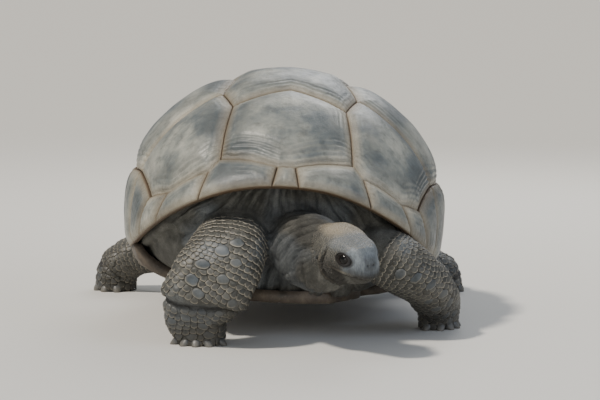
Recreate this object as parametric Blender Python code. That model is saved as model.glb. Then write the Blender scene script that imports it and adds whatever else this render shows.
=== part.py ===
"""Aldabra giant tortoise, standing with its head low and turned to its left.

A still, life-size model in metres, +Z up. The animal faces -Y, so its right side is at -X,
and it stands on z = 0. Every plate of the shell, the head, lower jaw, eyes, neck, trunk,
tail and the two lengths of each leg are solids of their own, 0.6 to 1 mm apart.

Run it with: blender --background --python part.py
"""

from math import cos, pi, radians, sin

import bmesh
import bpy
import numpy as np
from mathutils import Matrix, Vector

# Driving dimensions of the shell, in its own frame before it leans.
HALF_WIDTH = 0.393  # of the dome at its widest
HALF_LENGTH = 0.520
TOP = 0.609  # height of the highest point
WIDEST = 0.265  # height at which the dome is widest
TUCK = 0.50  # how far below that the sides would close, so how little they turn in
SIDE_POWER = 1.09
TOP_POWER = 0.98
PLATE = 0.022  # thickness of the carapace plates
BULGE = 0.006  # rise of a plate's middle over its seams
SEAM = 0.0016  # gap between two plates

# The plastron, which closes the shell below.
BELLY = 0.085  # height of its underside
BELLY_PLATE = 0.018
BELLY_FRONT, BELLY_REAR = -0.405, 0.420
BRIDGE_FROM = 0.190  # distance from the midline where the bridge starts to rise
BRIDGE_FULL, BRIDGE_END = 0.165, 0.235  # how far fore and aft the bridge is whole, and ends

# The trunk fills the shell, and its skin lies back from the openings fore and aft.
TRUNK_GAP = 0.0062
TRUNK_HALF_WIDTH, TRUNK_REAR = 0.365, 0.430
TRUNK_FRONT, TRUNK_SLOPE = 0.405, 0.20  # reach at a height of 0.2, and how it grows with height

# The shell leans on its legs, with the animal's left side lower.
LEAN = radians(3.0)
LEAN_HEIGHT = 0.25
SHELL_X = -0.006

SKIN_GAP = 0.0006  # between flesh solids that touch
EYE_RADIUS = 0.0145

COLOURS = {
    "shell": ((0.24, 0.21, 0.17), 0.55),
    "plastron": ((0.30, 0.26, 0.20), 0.60),
    "skin": ((0.11, 0.10, 0.085), 0.75),
    "head": ((0.15, 0.15, 0.14), 0.70),
    "eye": ((0.010, 0.007, 0.005), 0.08),
}


def empty_scene():
    """Remove what the file starts with, and make the two collections."""
    for old in list(bpy.data.objects):
        bpy.data.objects.remove(old, do_unlink=True)
    made = []
    for name in ("giant_tortoise", "cutters"):
        collection = bpy.data.collections.new(name)
        bpy.context.scene.collection.children.link(collection)
        made.append(collection)
    return made


PARTS, CUTTERS = empty_scene()
STAND = bpy.data.objects.new("stand_point", None)
PARTS.objects.link(STAND)
SHELL = bpy.data.objects.new("shell_lean", None)
PARTS.objects.link(SHELL)
SHELL.parent = STAND
SHELL.matrix_local = (
    Matrix.Translation((SHELL_X, 0, LEAN_HEIGHT))
    @ Matrix.Rotation(LEAN, 4, "Y")
    @ Matrix.Translation((0, 0, -LEAN_HEIGHT))
)


def material(name, colour, roughness):
    made = bpy.data.materials.new(name)
    made.use_nodes = True
    shader = made.node_tree.nodes["Principled BSDF"]
    shader.inputs["Base Color"].default_value = (*colour, 1)
    shader.inputs["Roughness"].default_value = roughness
    shader.inputs["Metallic"].default_value = 0.0
    return made


def facing_out(bm):
    bmesh.ops.recalc_face_normals(bm, faces=bm.faces)
    if bm.calc_volume(signed=True) < 0:
        bmesh.ops.reverse_faces(bm, faces=bm.faces)
    return bm


def add(name, bm, look, parent=STAND):
    """Make an object of the mesh, with a material of its own."""
    mesh = bpy.data.meshes.new(name)
    facing_out(bm).to_mesh(mesh)
    bm.free()
    obj = bpy.data.objects.new(name, mesh)
    PARTS.objects.link(obj)
    obj.parent = parent
    mesh.materials.append(material(name, *COLOURS[look]))
    return obj


def add_cutter(name, bm, parent=STAND):
    mesh = bpy.data.meshes.new(name)
    facing_out(bm).to_mesh(mesh)
    bm.free()
    obj = bpy.data.objects.new(name, mesh)
    CUTTERS.objects.link(obj)
    obj.parent = parent
    obj.hide_render = True
    obj.display_type = "WIRE"
    return obj


def boolean(obj, cutter, operation="DIFFERENCE"):
    step = obj.modifiers.new(f"{operation.lower()} {cutter.name}", "BOOLEAN")
    step.operation = operation
    step.solver = "EXACT"
    step.object = cutter


def smooth(t):
    t = np.clip(t, 0, 1)
    return t * t * (3 - 2 * t)


# ---------------------------------------------------------------- the dome of the shell


def rim_height(phi):
    """Height of the rim: high over the head, low along the sides, a little raised behind."""
    a = np.abs(phi)
    front = np.exp(-((a / radians(56)) ** 2.3))
    behind = smooth((a - radians(95)) / radians(70))
    return 0.130 + 0.240 * front + 0.070 * behind


def rim_reach(phi):
    """Distance of the rim from the apex in the layout plane, where 1 is the widest line."""
    rise = rim_height(phi) - WIDEST
    above = (np.abs(rise) / (TOP - WIDEST)) ** (1 / TOP_POWER)
    return np.arccos(np.where(rise > 0, above, rise / TUCK)) / (pi / 2)


def dome(across, along):
    """Point of the dome over a place in the layout plane.

    The layout plane unrolls the dome from its apex. The distance from the middle counts
    quarter turns down the side, and the angle from -Y goes round the animal. Near the
    rim the dome flares out, most over the head.
    """
    reach = np.hypot(across, along)
    phi = np.arctan2(across, -along)
    turn = reach * pi / 2
    level = np.cos(turn)
    up = np.where(level > 0, (TOP - WIDEST) * np.abs(level) ** TOP_POWER, TUCK * level)
    a = np.abs(phi)
    flare = 0.034 * np.exp(-((a / radians(60)) ** 4))
    flare = flare + 0.020 * smooth((a - radians(120)) / radians(60))
    near_rim = smooth((reach / rim_reach(phi) - 0.80) / 0.20)
    out = np.sin(turn) ** SIDE_POWER + flare * near_rim / 0.45
    return np.stack(
        [HALF_WIDTH * out * np.sin(phi), -HALF_LENGTH * out * np.cos(phi), WIDEST + up], -1
    )


def dome_normal(across, along):
    """Outward direction of the dome, from two short steps over it."""
    step = 1e-4
    du = dome(across + step, along) - dome(across - step, along)
    dv = dome(across, along + step) - dome(across, along - step)
    n = np.cross(du, dv)
    return n / np.linalg.norm(n, axis=-1, keepdims=True)


def side(points, t):
    """Place at t along a line of points, each stretch of it taking an equal share of t."""
    points = np.asarray(points, float)
    share = np.linspace(0, 1, len(points))
    return np.stack([np.interp(t, share, points[:, k]) for k in (0, 1)], -1)


def patch(near, far, left, right, u, v):
    """Coons patch between four sides: near and far run with u, left and right with v."""
    bottom, top = side(near, u), side(far, u)
    west, east = side(left, v), side(right, v)
    u, v = u[:, None], v[:, None]
    corners = (
        (1 - u) * (1 - v) * np.asarray(near[0])
        + u * (1 - v) * np.asarray(near[-1])
        + (1 - u) * v * np.asarray(far[0])
        + u * v * np.asarray(far[-1])
    )
    return (1 - v) * bottom + v * top + (1 - u) * west + u * east - corners


def plate_block(divisions_u, divisions_v):
    """A flat grid with a second layer extruded from it, in unit coordinates u, v and w."""
    bm = bmesh.new()
    bmesh.ops.create_grid(bm, x_segments=divisions_u, y_segments=divisions_v, size=0.5)
    grown = bmesh.ops.extrude_face_region(bm, geom=bm.faces[:], use_keep_orig=True)
    upper = [v for v in grown["geom"] if isinstance(v, bmesh.types.BMVert)]
    bmesh.ops.translate(bm, verts=upper, vec=(0, 0, 1))
    flat = np.array([v.co for v in bm.verts])
    return bm, flat[:, 0] + 0.5, flat[:, 1] + 0.5, flat[:, 2]


def put(bm, points):
    for vert, place in zip(bm.verts, points):
        vert.co = place


def polar(reach, phi):
    return (reach * sin(phi), -reach * cos(phi))


def scute(name, near, far, left, right, divisions=(6, 6), width=0.2, bulge=BULGE):
    """One plate of the carapace: a patch of the dome with a swollen middle."""
    bm, u, v, w = plate_block(*divisions)
    inset = SEAM / 2 / width
    u, v = inset + (1 - 2 * inset) * u, inset + (1 - 2 * inset) * v
    place = patch(near, far, left, right, u, v)
    swell = np.sqrt(np.clip(16 * u * (1 - u) * v * (1 - v), 0, 1))
    rise = np.where(w > 0.5, bulge * (swell - 0.6), -PLATE)
    points = dome(place[:, 0], place[:, 1])
    put(bm, points + rise[:, None] * dome_normal(place[:, 0], place[:, 1]))
    add(name, bm, "shell", SHELL)


def mirrored(points):
    return [(-x, y) for x, y in points]


def both_sides(name, near, far, left, right, **sizes):
    """A plate on the animal's left and its mirror image on the right."""
    scute(name.format("left"), near, far, left, right, **sizes)
    turned = [mirrored(line[::-1]) for line in (near, far)]
    scute(name.format("right"), *turned, mirrored(right), mirrored(left), **sizes)



# Seams of the plates in the layout plane, on the animal's left: the vertebral plates down
# the middle, the side corner of each, and the groove above the marginal plates.
FRONT_CORNER = (0.322, -0.643)
SEAM_ENDS = [(0.252, -0.355), (0.250, 0.0), (0.235, 0.273), (0.150, 0.506)]
SEAM_MIDDLES = [(0, -0.282), (0, 0.030), (0, 0.263), (0, 0.476)]
SIDE_CORNERS = [(0.300, -0.212), (0.300, 0.141), (0.270, 0.400)]
RIM_ANGLES = [radians(d) for d in (2.5, 29, 47, 59, 68, 82.5, 96, 110, 124, 137, 151, 167)]
GROOVE = [polar(0.722, RIM_ANGLES[0]), (0.375, -0.674), (0.620, -0.638), (0.757, -0.538), (0.790, -0.290)]
GROOVE += [polar(r, a) for r, a in zip((0.85, 0.86, 0.86, 0.86, 0.85, 0.83, 0.81), RIM_ANGLES[5:])]


def vertebral_plates():
    middle = [GROOVE[0], FRONT_CORNER]
    rows = [[*mirrored(middle[::-1]), *middle]]
    rows += [[*mirrored([end]), centre, end] for end, centre in zip(SEAM_ENDS, SEAM_MIDDLES)]
    rows += [[*mirrored(GROOVE[10:]), *GROOVE[:9:-1]]]
    for number, (near, far) in enumerate(zip(rows, rows[1:])):
        corner = SIDE_CORNERS[number - 1 : number] if number in (1, 2, 3) else []
        right = [near[-1], *corner, far[-1]]
        scute(f"vertebral_{number + 1}", near, far, mirrored(right), right)


def costal_plates():
    """Four plates down each side, from the vertebral plates out to the groove."""
    first_front = [FRONT_CORNER, *GROOVE[1:4]]
    fronts = [[SIDE_CORNERS[0], GROOVE[4]], [SIDE_CORNERS[1], GROOVE[6]], [SIDE_CORNERS[2], GROOVE[8]]]
    last = [SEAM_ENDS[3], GROOVE[10]]
    inner = [
        [FRONT_CORNER, SEAM_ENDS[0], SIDE_CORNERS[0]],
        [SIDE_CORNERS[0], SEAM_ENDS[1], SIDE_CORNERS[1]],
        [SIDE_CORNERS[1], SEAM_ENDS[2], SIDE_CORNERS[2]],
        [SIDE_CORNERS[2], SEAM_ENDS[3]],
    ]
    outer = [GROOVE[3:5], GROOVE[4:7], GROOVE[6:9], GROOVE[8:11]]
    rows = [first_front, *fronts, last]
    for number, sides in enumerate(zip(rows, rows[1:], inner, outer)):
        both_sides(f"costal_{{}}_{number + 1}", *sides)


def rim_line(start, end):
    return [polar(float(rim_reach(a)), a) for a in np.linspace(start, end, 9)]


def marginal_plates():
    """The band along the rim: a small nuchal plate, eleven a side, and one over the tail."""
    sizes = {"divisions": (4, 3), "width": 0.12, "bulge": 0.004}
    angle = RIM_ANGLES[0]
    top = [*mirrored(GROOVE[:1]), GROOVE[0]]
    edge = rim_line(-angle, angle)
    ends = [[edge[0], top[0]], [edge[-1], top[-1]]]
    scute("nuchal", edge, top, *ends, divisions=(2, 3), width=0.035, bulge=0.001)
    for number in range(11):
        edge = rim_line(*RIM_ANGLES[number : number + 2])
        top = GROOVE[number : number + 2]
        if number == 0:
            top = [top[0], (FRONT_CORNER[0], FRONT_CORNER[1] - 2 * SEAM), top[1]]
        ends = [[edge[0], top[0]], [edge[-1], top[-1]]]
        both_sides(f"marginal_{{}}_{number + 1}", edge, top, *ends, **sizes)
    edge = rim_line(RIM_ANGLES[-1], 2 * pi - RIM_ANGLES[-1])
    top = [GROOVE[-1], *mirrored(GROOVE[-1:])]
    scute("supracaudal", edge, top, [edge[0], top[0]], [edge[-1], top[-1]], **sizes)


# ------------------------------------------------------------------------ the plastron


def side_wall(along):
    """Distance from the midline, and height, of the rim above a place along the body."""
    reach_fore = HALF_LENGTH * 0.975
    phi = np.arccos(np.clip(-along / reach_fore, -0.98, 0.98))
    low = np.sin(rim_reach(phi) * pi / 2) ** SIDE_POWER
    return HALF_WIDTH * low * np.sin(phi), rim_height(phi)


def belly_height(distance, along, lift=0.0):
    """Height of the underside: flat in the middle, then curving up to meet the rim."""
    wall, top = side_wall(along)
    t = np.clip((distance - BRIDGE_FROM) / (wall - BRIDGE_FROM), 0, 1)
    start = BELLY + lift
    return start + (top - SEAM - start) * (1 - np.sqrt(1 - t * t))


def belly_half_width(along):
    """Half the plastron's width: a lobe fore and aft, and a bridge out to the rim between."""
    fore = smooth((along - BELLY_FRONT) / 0.05)
    aft = smooth((BELLY_REAR - along) / 0.06)
    lobe = np.where(along < 0, 0.105 + 0.015 * fore, 0.085 + 0.025 * aft)
    lobe = lobe + (BRIDGE_FROM - lobe) * (1 - smooth((np.abs(along) - 0.24) / 0.15))
    whole = 1 - smooth((np.abs(along) - BRIDGE_FULL) / (BRIDGE_END - BRIDGE_FULL))
    wall, _ = side_wall(along)
    return lobe + (wall - 0.001 - lobe) * whole, whole


def plastron():
    bm, u, v, w = plate_block(8, 14)
    across, along = 2 * u - 1, BELLY_FRONT + (BELLY_REAR - BELLY_FRONT) * v
    # The front edge is rounded and the rear edge is notched.
    along = np.where(v < 0.5, along + 0.03 * across**2 * (1 - v) ** 8, along)
    along = np.where(v > 0.5, along - 0.05 * (1 - np.abs(across)) * v**10, along)
    half, whole = belly_half_width(along)
    x = across * (half - BELLY_PLATE * whole * w)
    z = belly_height(np.abs(across) * half, along, 0.0) * (1 - w)
    z = z + belly_height(np.abs(across) * half, along, BELLY_PLATE) * w
    put(bm, np.stack([x, along, z], -1))
    add("plastron", bm, "plastron", SHELL)


# --------------------------------------------------------------------------- the trunk


def inside_trunk(p):
    """Whether points lie in the trunk: in the dome, over the plastron, short of the openings."""
    gap = PLATE + TRUNK_GAP
    x, y, z = p[..., 0], p[..., 1], p[..., 2]
    phi = np.arctan2(x / HALF_WIDTH, -y / HALF_LENGTH)
    out = np.hypot(x / (HALF_WIDTH - gap), y / (HALF_LENGTH - gap))
    rise = z - WIDEST
    above = (np.clip(np.abs(rise) / (TOP - gap - WIDEST), 0, 1)) ** (1 / TOP_POWER)
    level = np.where(rise > 0, above, rise / TUCK)
    in_dome = (out < np.sqrt(np.clip(1 - level**2, 0, 1)) ** SIDE_POWER) & (z < TOP - gap)
    wall, _ = side_wall(y)
    lift = BELLY_PLATE + TRUNK_GAP
    over_belly = z > belly_height(np.abs(x) * (wall / (wall - lift - 4 * TRUNK_GAP)), y, lift)
    length = np.where(y < 0, TRUNK_FRONT + TRUNK_SLOPE * (z - 0.20), TRUNK_REAR)
    plan = (np.abs(x) / TRUNK_HALF_WIDTH) ** 3 + (np.abs(y) / length) ** 3
    return in_dome & over_belly & (plan < 1)


def in_triangles(bm):
    """Split the bent quads one way only, so that a solid and the room cut for it agree."""
    bmesh.ops.triangulate(bm, faces=bm.faces[:], quad_method="FIXED")
    return bm


def swollen(bm, gap):
    """Move every point of a mesh outwards, to make room round a solid of that shape."""
    bm.normal_update()
    put(bm, [v.co + v.normal * gap for v in bm.verts])
    return bm


def trunk_mesh():
    """A sphere whose every point is pushed out to the edge of the trunk's room."""
    bm = bmesh.new()
    bmesh.ops.create_uvsphere(bm, u_segments=18, v_segments=12, radius=1.0)
    rays = np.array([v.co.normalized() for v in bm.verts])
    heart = np.array([0, 0, 0.23])
    near, far = np.zeros(len(rays)), np.ones(len(rays))
    for _ in range(26):
        half = (near + far) / 2
        within = inside_trunk(heart + rays * half[:, None])
        near, far = np.where(within, half, near), np.where(within, far, half)
    put(bm, heart + rays * near[:, None])
    return in_triangles(bm)


def trunk():
    add("trunk", trunk_mesh(), "skin", SHELL)
    return add_cutter("trunk_room", swollen(trunk_mesh(), SKIN_GAP), SHELL)


# ------------------------------------------------------------- limbs, neck, head and tail


def along_curve(stations, t):
    """Smooth values through the stations, at t from 0 to 1 (a Catmull-Rom curve)."""
    stations = np.asarray(stations, float)
    last = len(stations) - 1
    place = np.clip(t, 0, 1) * last
    k = np.minimum(place.astype(int), last - 1)
    f = (place - k)[:, None]
    padded = np.vstack([2 * stations[0] - stations[1], stations, 2 * stations[-1] - stations[-2]])
    a, b, c, d = (padded[k + n] for n in range(4))
    return b + 0.5 * f * (c - a + f * (2 * a - 5 * b + 4 * c - d + f * (3 * (b - c) + d - a)))


def loft_mesh(stations, across, rings, sides, power=2.0):
    """A sphere whose rings are carried along a curve, each with the section of its place.

    A station is x, y, z, half width, and the reach of its two faces. The width lies along
    "across", turned square to the curve, and the second face is on the right-hand side of
    that direction and the curve's. A power over 2 squares the sections off.
    """
    bm = bmesh.new()
    bmesh.ops.create_uvsphere(bm, u_segments=sides, v_segments=rings, radius=1.0)
    ball = np.array([v.co for v in bm.verts])
    ring = np.arccos(np.clip(ball[:, 2], -1, 1)) / pi * rings
    t = np.clip((ring - 1) / (rings - 2), 0, 1)
    row = along_curve(stations, t)
    ahead = along_curve(stations, t + 0.01)[:, :3] - along_curve(stations, t - 0.01)[:, :3]
    ahead /= np.linalg.norm(ahead, axis=1, keepdims=True)
    width = np.asarray(across, float) - (ahead @ np.asarray(across, float))[:, None] * ahead
    width /= np.linalg.norm(width, axis=1, keepdims=True)
    face = np.cross(width, ahead)
    pole = (ring < 0.5) | (ring > rings - 0.5)
    turn = np.arctan2(ball[:, 1], ball[:, 0])
    c, s = np.cos(turn), np.sin(turn)
    c, s = (np.sign(q) * np.abs(q) ** (2 / power) for q in (c, s))
    half = np.where(pole, 0, row[:, 3] * c)
    deep = np.where(pole, 0, np.where(s > 0, row[:, 5], row[:, 4]) * s)
    put(bm, row[:, :3] + half[:, None] * width + deep[:, None] * face)
    return in_triangles(facing_out(bm))


def keep_side(bm, point, normal):
    """Cut a closed mesh by a plane, keep what lies behind it, and close the cut."""
    geometry = bm.verts[:] + bm.edges[:] + bm.faces[:]
    cut = bmesh.ops.bisect_plane(bm, geom=geometry, plane_co=point, plane_no=normal, clear_outer=True)
    rim = [e for e in cut["geom_cut"] if isinstance(e, bmesh.types.BMEdge)]
    bmesh.ops.holes_fill(bm, edges=rim)
    return bm


def settle(obj):
    """Give an object the mesh that its modifiers make, and drop the modifiers."""
    graph = bpy.context.evaluated_depsgraph_get()
    made = bpy.data.meshes.new_from_object(obj.evaluated_get(graph))
    obj.modifiers.clear()
    obj.data = made
    return obj


LEGS = {
    # name: (stations from the shoulder or hip to below the sole, across, wrist, claw spread)
    "fore_right": dict(
        path=[
            (-0.120, -0.290, 0.215, 0.070, 0.065, 0.065),
            (-0.118, -0.400, 0.240, 0.076, 0.066, 0.066),
            (-0.130, -0.468, 0.218, 0.088, 0.062, 0.060),
            (-0.152, -0.495, 0.172, 0.096, 0.054, 0.058),
            (-0.185, -0.492, 0.122, 0.091, 0.048, 0.052),
            (-0.202, -0.472, 0.070, 0.077, 0.046, 0.046),
            (-0.196, -0.460, 0.024, 0.060, 0.044, 0.042),
            (-0.196, -0.458, -0.020, 0.056, 0.040, 0.038),
        ],
        across=(0.97, -0.22, 0.0), wrist=0.072, claws=5, claw=(0.0112, 0.020), facing=-100, fan=150,
    ),
    "fore_left": dict(
        path=[
            (0.150, -0.290, 0.195, 0.062, 0.066, 0.060),
            (0.203, -0.380, 0.196, 0.064, 0.070, 0.060),
            (0.258, -0.398, 0.170, 0.060, 0.072, 0.058),
            (0.310, -0.356, 0.132, 0.055, 0.066, 0.052),
            (0.346, -0.292, 0.092, 0.053, 0.054, 0.048),
            (0.362, -0.247, 0.058, 0.054, 0.044, 0.042),
            (0.363, -0.230, 0.022, 0.054, 0.041, 0.040),
            (0.363, -0.228, -0.020, 0.052, 0.038, 0.038),
        ],
        across=(0.62, 0.78, 0.0), wrist=0.062, claws=5, claw=(0.0112, 0.020), facing=-50, fan=150,
    ),
    "hind_right": dict(
        path=[
            (-0.150, 0.275, 0.190, 0.052, 0.052, 0.052),
            (-0.235, 0.330, 0.146, 0.066, 0.043, 0.052),
            (-0.325, 0.366, 0.108, 0.067, 0.043, 0.052),
            (-0.405, 0.387, 0.090, 0.063, 0.054, 0.050),
            (-0.448, 0.400, 0.056, 0.056, 0.054, 0.052),
            (-0.456, 0.402, 0.020, 0.056, 0.054, 0.052),
            (-0.456, 0.402, -0.020, 0.054, 0.052, 0.050),
        ],
        across=(0.30, -0.95, 0.0), wrist=0.058, claws=4, claw=(0.0135, 0.019), facing=-140, fan=110,
    ),
    "hind_left": dict(
        path=[
            (0.150, 0.275, 0.182, 0.052, 0.050, 0.048),
            (0.225, 0.330, 0.122, 0.064, 0.038, 0.048),
            (0.300, 0.358, 0.080, 0.065, 0.038, 0.040),
            (0.365, 0.370, 0.070, 0.062, 0.046, 0.044),
            (0.402, 0.380, 0.046, 0.054, 0.050, 0.048),
            (0.410, 0.382, 0.018, 0.054, 0.052, 0.050),
            (0.410, 0.382, -0.020, 0.052, 0.050, 0.048),
        ],
        across=(0.30, 0.95, 0.0), wrist=0.048, claws=4, claw=(0.0135, 0.019), facing=-40, fan=110,
    ),
}


def claws_mesh(leg):
    """Blunt claws round the front of the sole, one stretched sphere for each."""
    bm = bmesh.new()
    x, y, _, half, fore, aft = leg["path"][-2]
    axis = Vector(leg["across"]).normalized()
    square = Vector((-axis.y, axis.x, 0))
    for n in range(leg["claws"]):
        bearing = radians(leg["facing"] + leg["fan"] * (n / (leg["claws"] - 1) - 0.5))
        out = Vector((cos(bearing), sin(bearing), 0))
        reach = 1 / np.hypot(out.dot(axis) / half, out.dot(square) / ((fore + aft) / 2))
        wide, long = leg["claw"]
        turn = Matrix.Rotation(bearing, 4, "Z") @ Matrix.Rotation(radians(28), 4, "Y")
        place = Matrix.Translation((x + out.x * reach, y + out.y * reach, wide * 0.75))
        bmesh.ops.create_uvsphere(
            bm, u_segments=6, v_segments=5, radius=1.0,
            matrix=place @ turn @ Matrix.Diagonal((long, wide, wide * 0.8, 1)),
        )
    return bm


def legs(trunk_room):
    for name, leg in LEGS.items():
        girdle = name.split("_")[0]
        level = leg["wrist"]
        shape = (leg["path"], leg["across"], 12, 14, 2.4)
        upper = keep_side(loft_mesh(*shape), (0, 0, level + SKIN_GAP / 2), (0, 0, -1))
        side_name = name.split("_")[1]
        limb = add(f"{girdle}leg_{side_name}", upper, "skin")
        boolean(limb, trunk_room)
        foot_mesh = keep_side(loft_mesh(*shape), (0, 0, level - SKIN_GAP / 2), (0, 0, 1))
        foot = add(f"{girdle}foot_{side_name}", foot_mesh, "skin")
        boolean(foot, add_cutter(f"claws_{name}", claws_mesh(leg)), "UNION")
        settle(foot)
        bm = bmesh.new()
        bm.from_mesh(foot.data)
        keep_side(bm, (0, 0, 0), (0, 0, -1))
        bm.to_mesh(foot.data)
        bm.free()


# The head's own frame: origin between the eyes, x to the beak, y to its left, z up.
HEAD_TURN, HEAD_DROP, HEAD_TILT = radians(32), radians(14), radians(4)
HEAD = (
    Matrix.Translation((0.1620, -0.660, 0.2255))
    @ Matrix.Rotation(HEAD_TURN - pi / 2, 4, "Z")
    @ Matrix.Rotation(HEAD_DROP, 4, "Y")
    @ Matrix.Rotation(HEAD_TILT, 4, "X")
)
HEAD_STATIONS = [
    # along, 0, centre height, half width, reach down, reach up
    (-0.122, 0, -0.006, 0.046, 0.046, 0.044),
    (-0.102, 0, -0.008, 0.058, 0.057, 0.054),
    (-0.072, 0, -0.010, 0.063, 0.062, 0.057),
    (-0.042, 0, -0.012, 0.059, 0.062, 0.057),
    (-0.012, 0, -0.012, 0.050, 0.055, 0.054),
    (0.014, 0, -0.012, 0.042, 0.046, 0.048),
    (0.033, 0, -0.014, 0.034, 0.037, 0.040),
    (0.043, 0, -0.017, 0.0265, 0.029, 0.032),
    (0.048, 0, -0.018, 0.0190, 0.022, 0.023),
    (0.050, 0, -0.019, 0.0125, 0.015, 0.015),
]
MOUTH, MOUTH_NORMAL = Vector((0.047, 0, -0.0300)), Vector((-0.05, 0, 1))
EYE_PLACE = Vector((0.0, 0.0335, 0.0))


def head(trunk_room):
    frame = bpy.data.objects.new("head_frame", None)
    PARTS.objects.link(frame)
    frame.parent = STAND
    frame.matrix_local = HEAD
    shape = (HEAD_STATIONS, (0, -1, 0), 14, 16, 2.3)
    lip = MOUTH_NORMAL.normalized() * SKIN_GAP / 2
    skull = add("head", keep_side(loft_mesh(*shape), MOUTH + lip, -MOUTH_NORMAL), "head", frame)
    add("lower_jaw", keep_side(loft_mesh(*shape), MOUTH - lip, MOUTH_NORMAL), "head", frame)

    for name, hand in (("left", 1), ("right", -1)):
        centre = (EYE_PLACE.x, EYE_PLACE.y * hand, EYE_PLACE.z)
        for grow in (0.0, SKIN_GAP):
            bm = bmesh.new()
            bmesh.ops.create_uvsphere(
                bm, u_segments=12, v_segments=8, radius=EYE_RADIUS + grow, matrix=Matrix.Translation(centre)
            )
            if grow:
                boolean(skull, add_cutter(f"socket_{name}", bm, frame))
            else:
                add(f"eye_{name}", bm, "eye", frame)

    neck_path = [
        (0.020, -0.300, 0.205, 0.072, 0.078, 0.080),
        (0.030, -0.400, 0.215, 0.072, 0.082, 0.088),
        (0.050, -0.480, 0.218, 0.074, 0.086, 0.086),
        (0.080, -0.545, 0.216, 0.066, 0.086, 0.080),
        (0.110, -0.590, 0.210, 0.052, 0.072, 0.060),
        (0.134, -0.622, 0.202, 0.026, 0.044, 0.030),
    ]
    neck = add("neck", loft_mesh(neck_path, (-1, 0, 0), 10, 14, 2.0), "skin")
    boolean(neck, trunk_room)
    boolean(neck, add_cutter("head_room", swollen(loft_mesh(*shape), SKIN_GAP), frame))


def tail(trunk_room):
    path = [
        (0.010, 0.360, 0.205, 0.036, 0.030, 0.030),
        (0.020, 0.440, 0.180, 0.036, 0.029, 0.029),
        (0.045, 0.495, 0.140, 0.030, 0.024, 0.024),
        (0.085, 0.525, 0.112, 0.020, 0.017, 0.017),
        (0.120, 0.530, 0.100, 0.009, 0.009, 0.009),
    ]
    end = add("tail", loft_mesh(path, (-0.94, 0.34, 0), 9, 10), "skin")
    boolean(end, trunk_room)


def centre_on_floor():
    """Move the stand point so that the whole model's box is centred on the origin."""
    bpy.context.view_layer.update()
    graph = bpy.context.evaluated_depsgraph_get()
    corners = []
    for obj in PARTS.objects:
        if obj.type == "MESH":
            shown = obj.evaluated_get(graph)
            spots = np.array([v.co for v in shown.data.vertices])
            matrix = np.array(obj.matrix_world)
            corners.append(spots @ matrix[:3, :3].T + matrix[:3, 3])
    spots = np.vstack(corners)
    middle = (spots.min(0) + spots.max(0)) / 2
    STAND.location = (-middle[0], -middle[1], 0)
    bpy.context.view_layer.update()


vertebral_plates()
costal_plates()
marginal_plates()
plastron()
room = trunk()
legs(room)
head(room)
tail(room)
centre_on_floor()
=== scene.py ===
"""An old Aldabra giant tortoise with its head low, as a life-size museum model in still pose.

The animal faces -Y with its head turned to its left, and stands on z = 0, in metres.
"""

from math import cos, pi, radians, sin

import bmesh
import bpy
import numpy as np
from mathutils import Matrix, Vector


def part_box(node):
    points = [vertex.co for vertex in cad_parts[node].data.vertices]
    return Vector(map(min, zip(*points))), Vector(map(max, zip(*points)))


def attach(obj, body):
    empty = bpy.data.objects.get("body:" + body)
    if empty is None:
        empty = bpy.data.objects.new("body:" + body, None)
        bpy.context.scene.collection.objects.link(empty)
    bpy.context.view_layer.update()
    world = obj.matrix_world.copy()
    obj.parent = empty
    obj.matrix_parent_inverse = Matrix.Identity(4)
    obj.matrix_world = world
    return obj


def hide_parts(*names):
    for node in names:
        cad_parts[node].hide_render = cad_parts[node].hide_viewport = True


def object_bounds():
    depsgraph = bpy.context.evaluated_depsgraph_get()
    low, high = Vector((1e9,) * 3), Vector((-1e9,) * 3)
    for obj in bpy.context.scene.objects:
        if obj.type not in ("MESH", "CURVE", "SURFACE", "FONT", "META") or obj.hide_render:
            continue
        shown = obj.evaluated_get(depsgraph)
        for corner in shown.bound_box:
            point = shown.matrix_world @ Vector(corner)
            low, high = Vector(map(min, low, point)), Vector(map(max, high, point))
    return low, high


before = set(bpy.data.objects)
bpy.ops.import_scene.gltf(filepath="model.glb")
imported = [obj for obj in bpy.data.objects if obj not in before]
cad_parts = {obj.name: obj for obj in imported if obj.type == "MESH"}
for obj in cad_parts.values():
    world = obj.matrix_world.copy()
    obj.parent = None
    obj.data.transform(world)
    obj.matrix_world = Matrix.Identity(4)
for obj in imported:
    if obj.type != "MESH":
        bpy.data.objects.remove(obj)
cad_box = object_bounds()

# ------------------------------------------------------------------ the floor and the light
# A plain pale studio floor of matt paint. The key light stands high on the animal's right,
# a cool wide one on its left, one behind it and a low one in front, and a long lens looks
# from a little above the animal's back.


def linear(code):
    """Linear colour from an sRGB hex code: each part over 255, then the sRGB curve undone."""
    parts = np.array([int(code[k : k + 2], 16) for k in (0, 2, 4)]) / 255
    parts = np.where(parts <= 0.04045, parts / 12.92, ((parts + 0.055) / 1.055) ** 2.4)
    return (*parts, 1.0)


def finish(name):
    """A new material, with its tree and its principled shader."""
    made = bpy.data.materials.new(name)
    made.use_nodes = True
    return made, made.node_tree, made.node_tree.nodes["Principled BSDF"]


def shown(name, points, kinds_of_face, material):
    """An object at the origin from points and arrays of faces, shaded smooth, with a material."""
    faces = [tuple(face) for faces in kinds_of_face for face in np.asarray(faces).tolist()]
    mesh = bpy.data.meshes.new(name)
    mesh.from_pydata(np.asarray(points, float), [], faces)
    mesh.shade_smooth()
    mesh.materials.append(material)
    obj = bpy.data.objects.new(name, mesh)
    bpy.context.scene.collection.objects.link(obj)
    return obj


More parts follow.
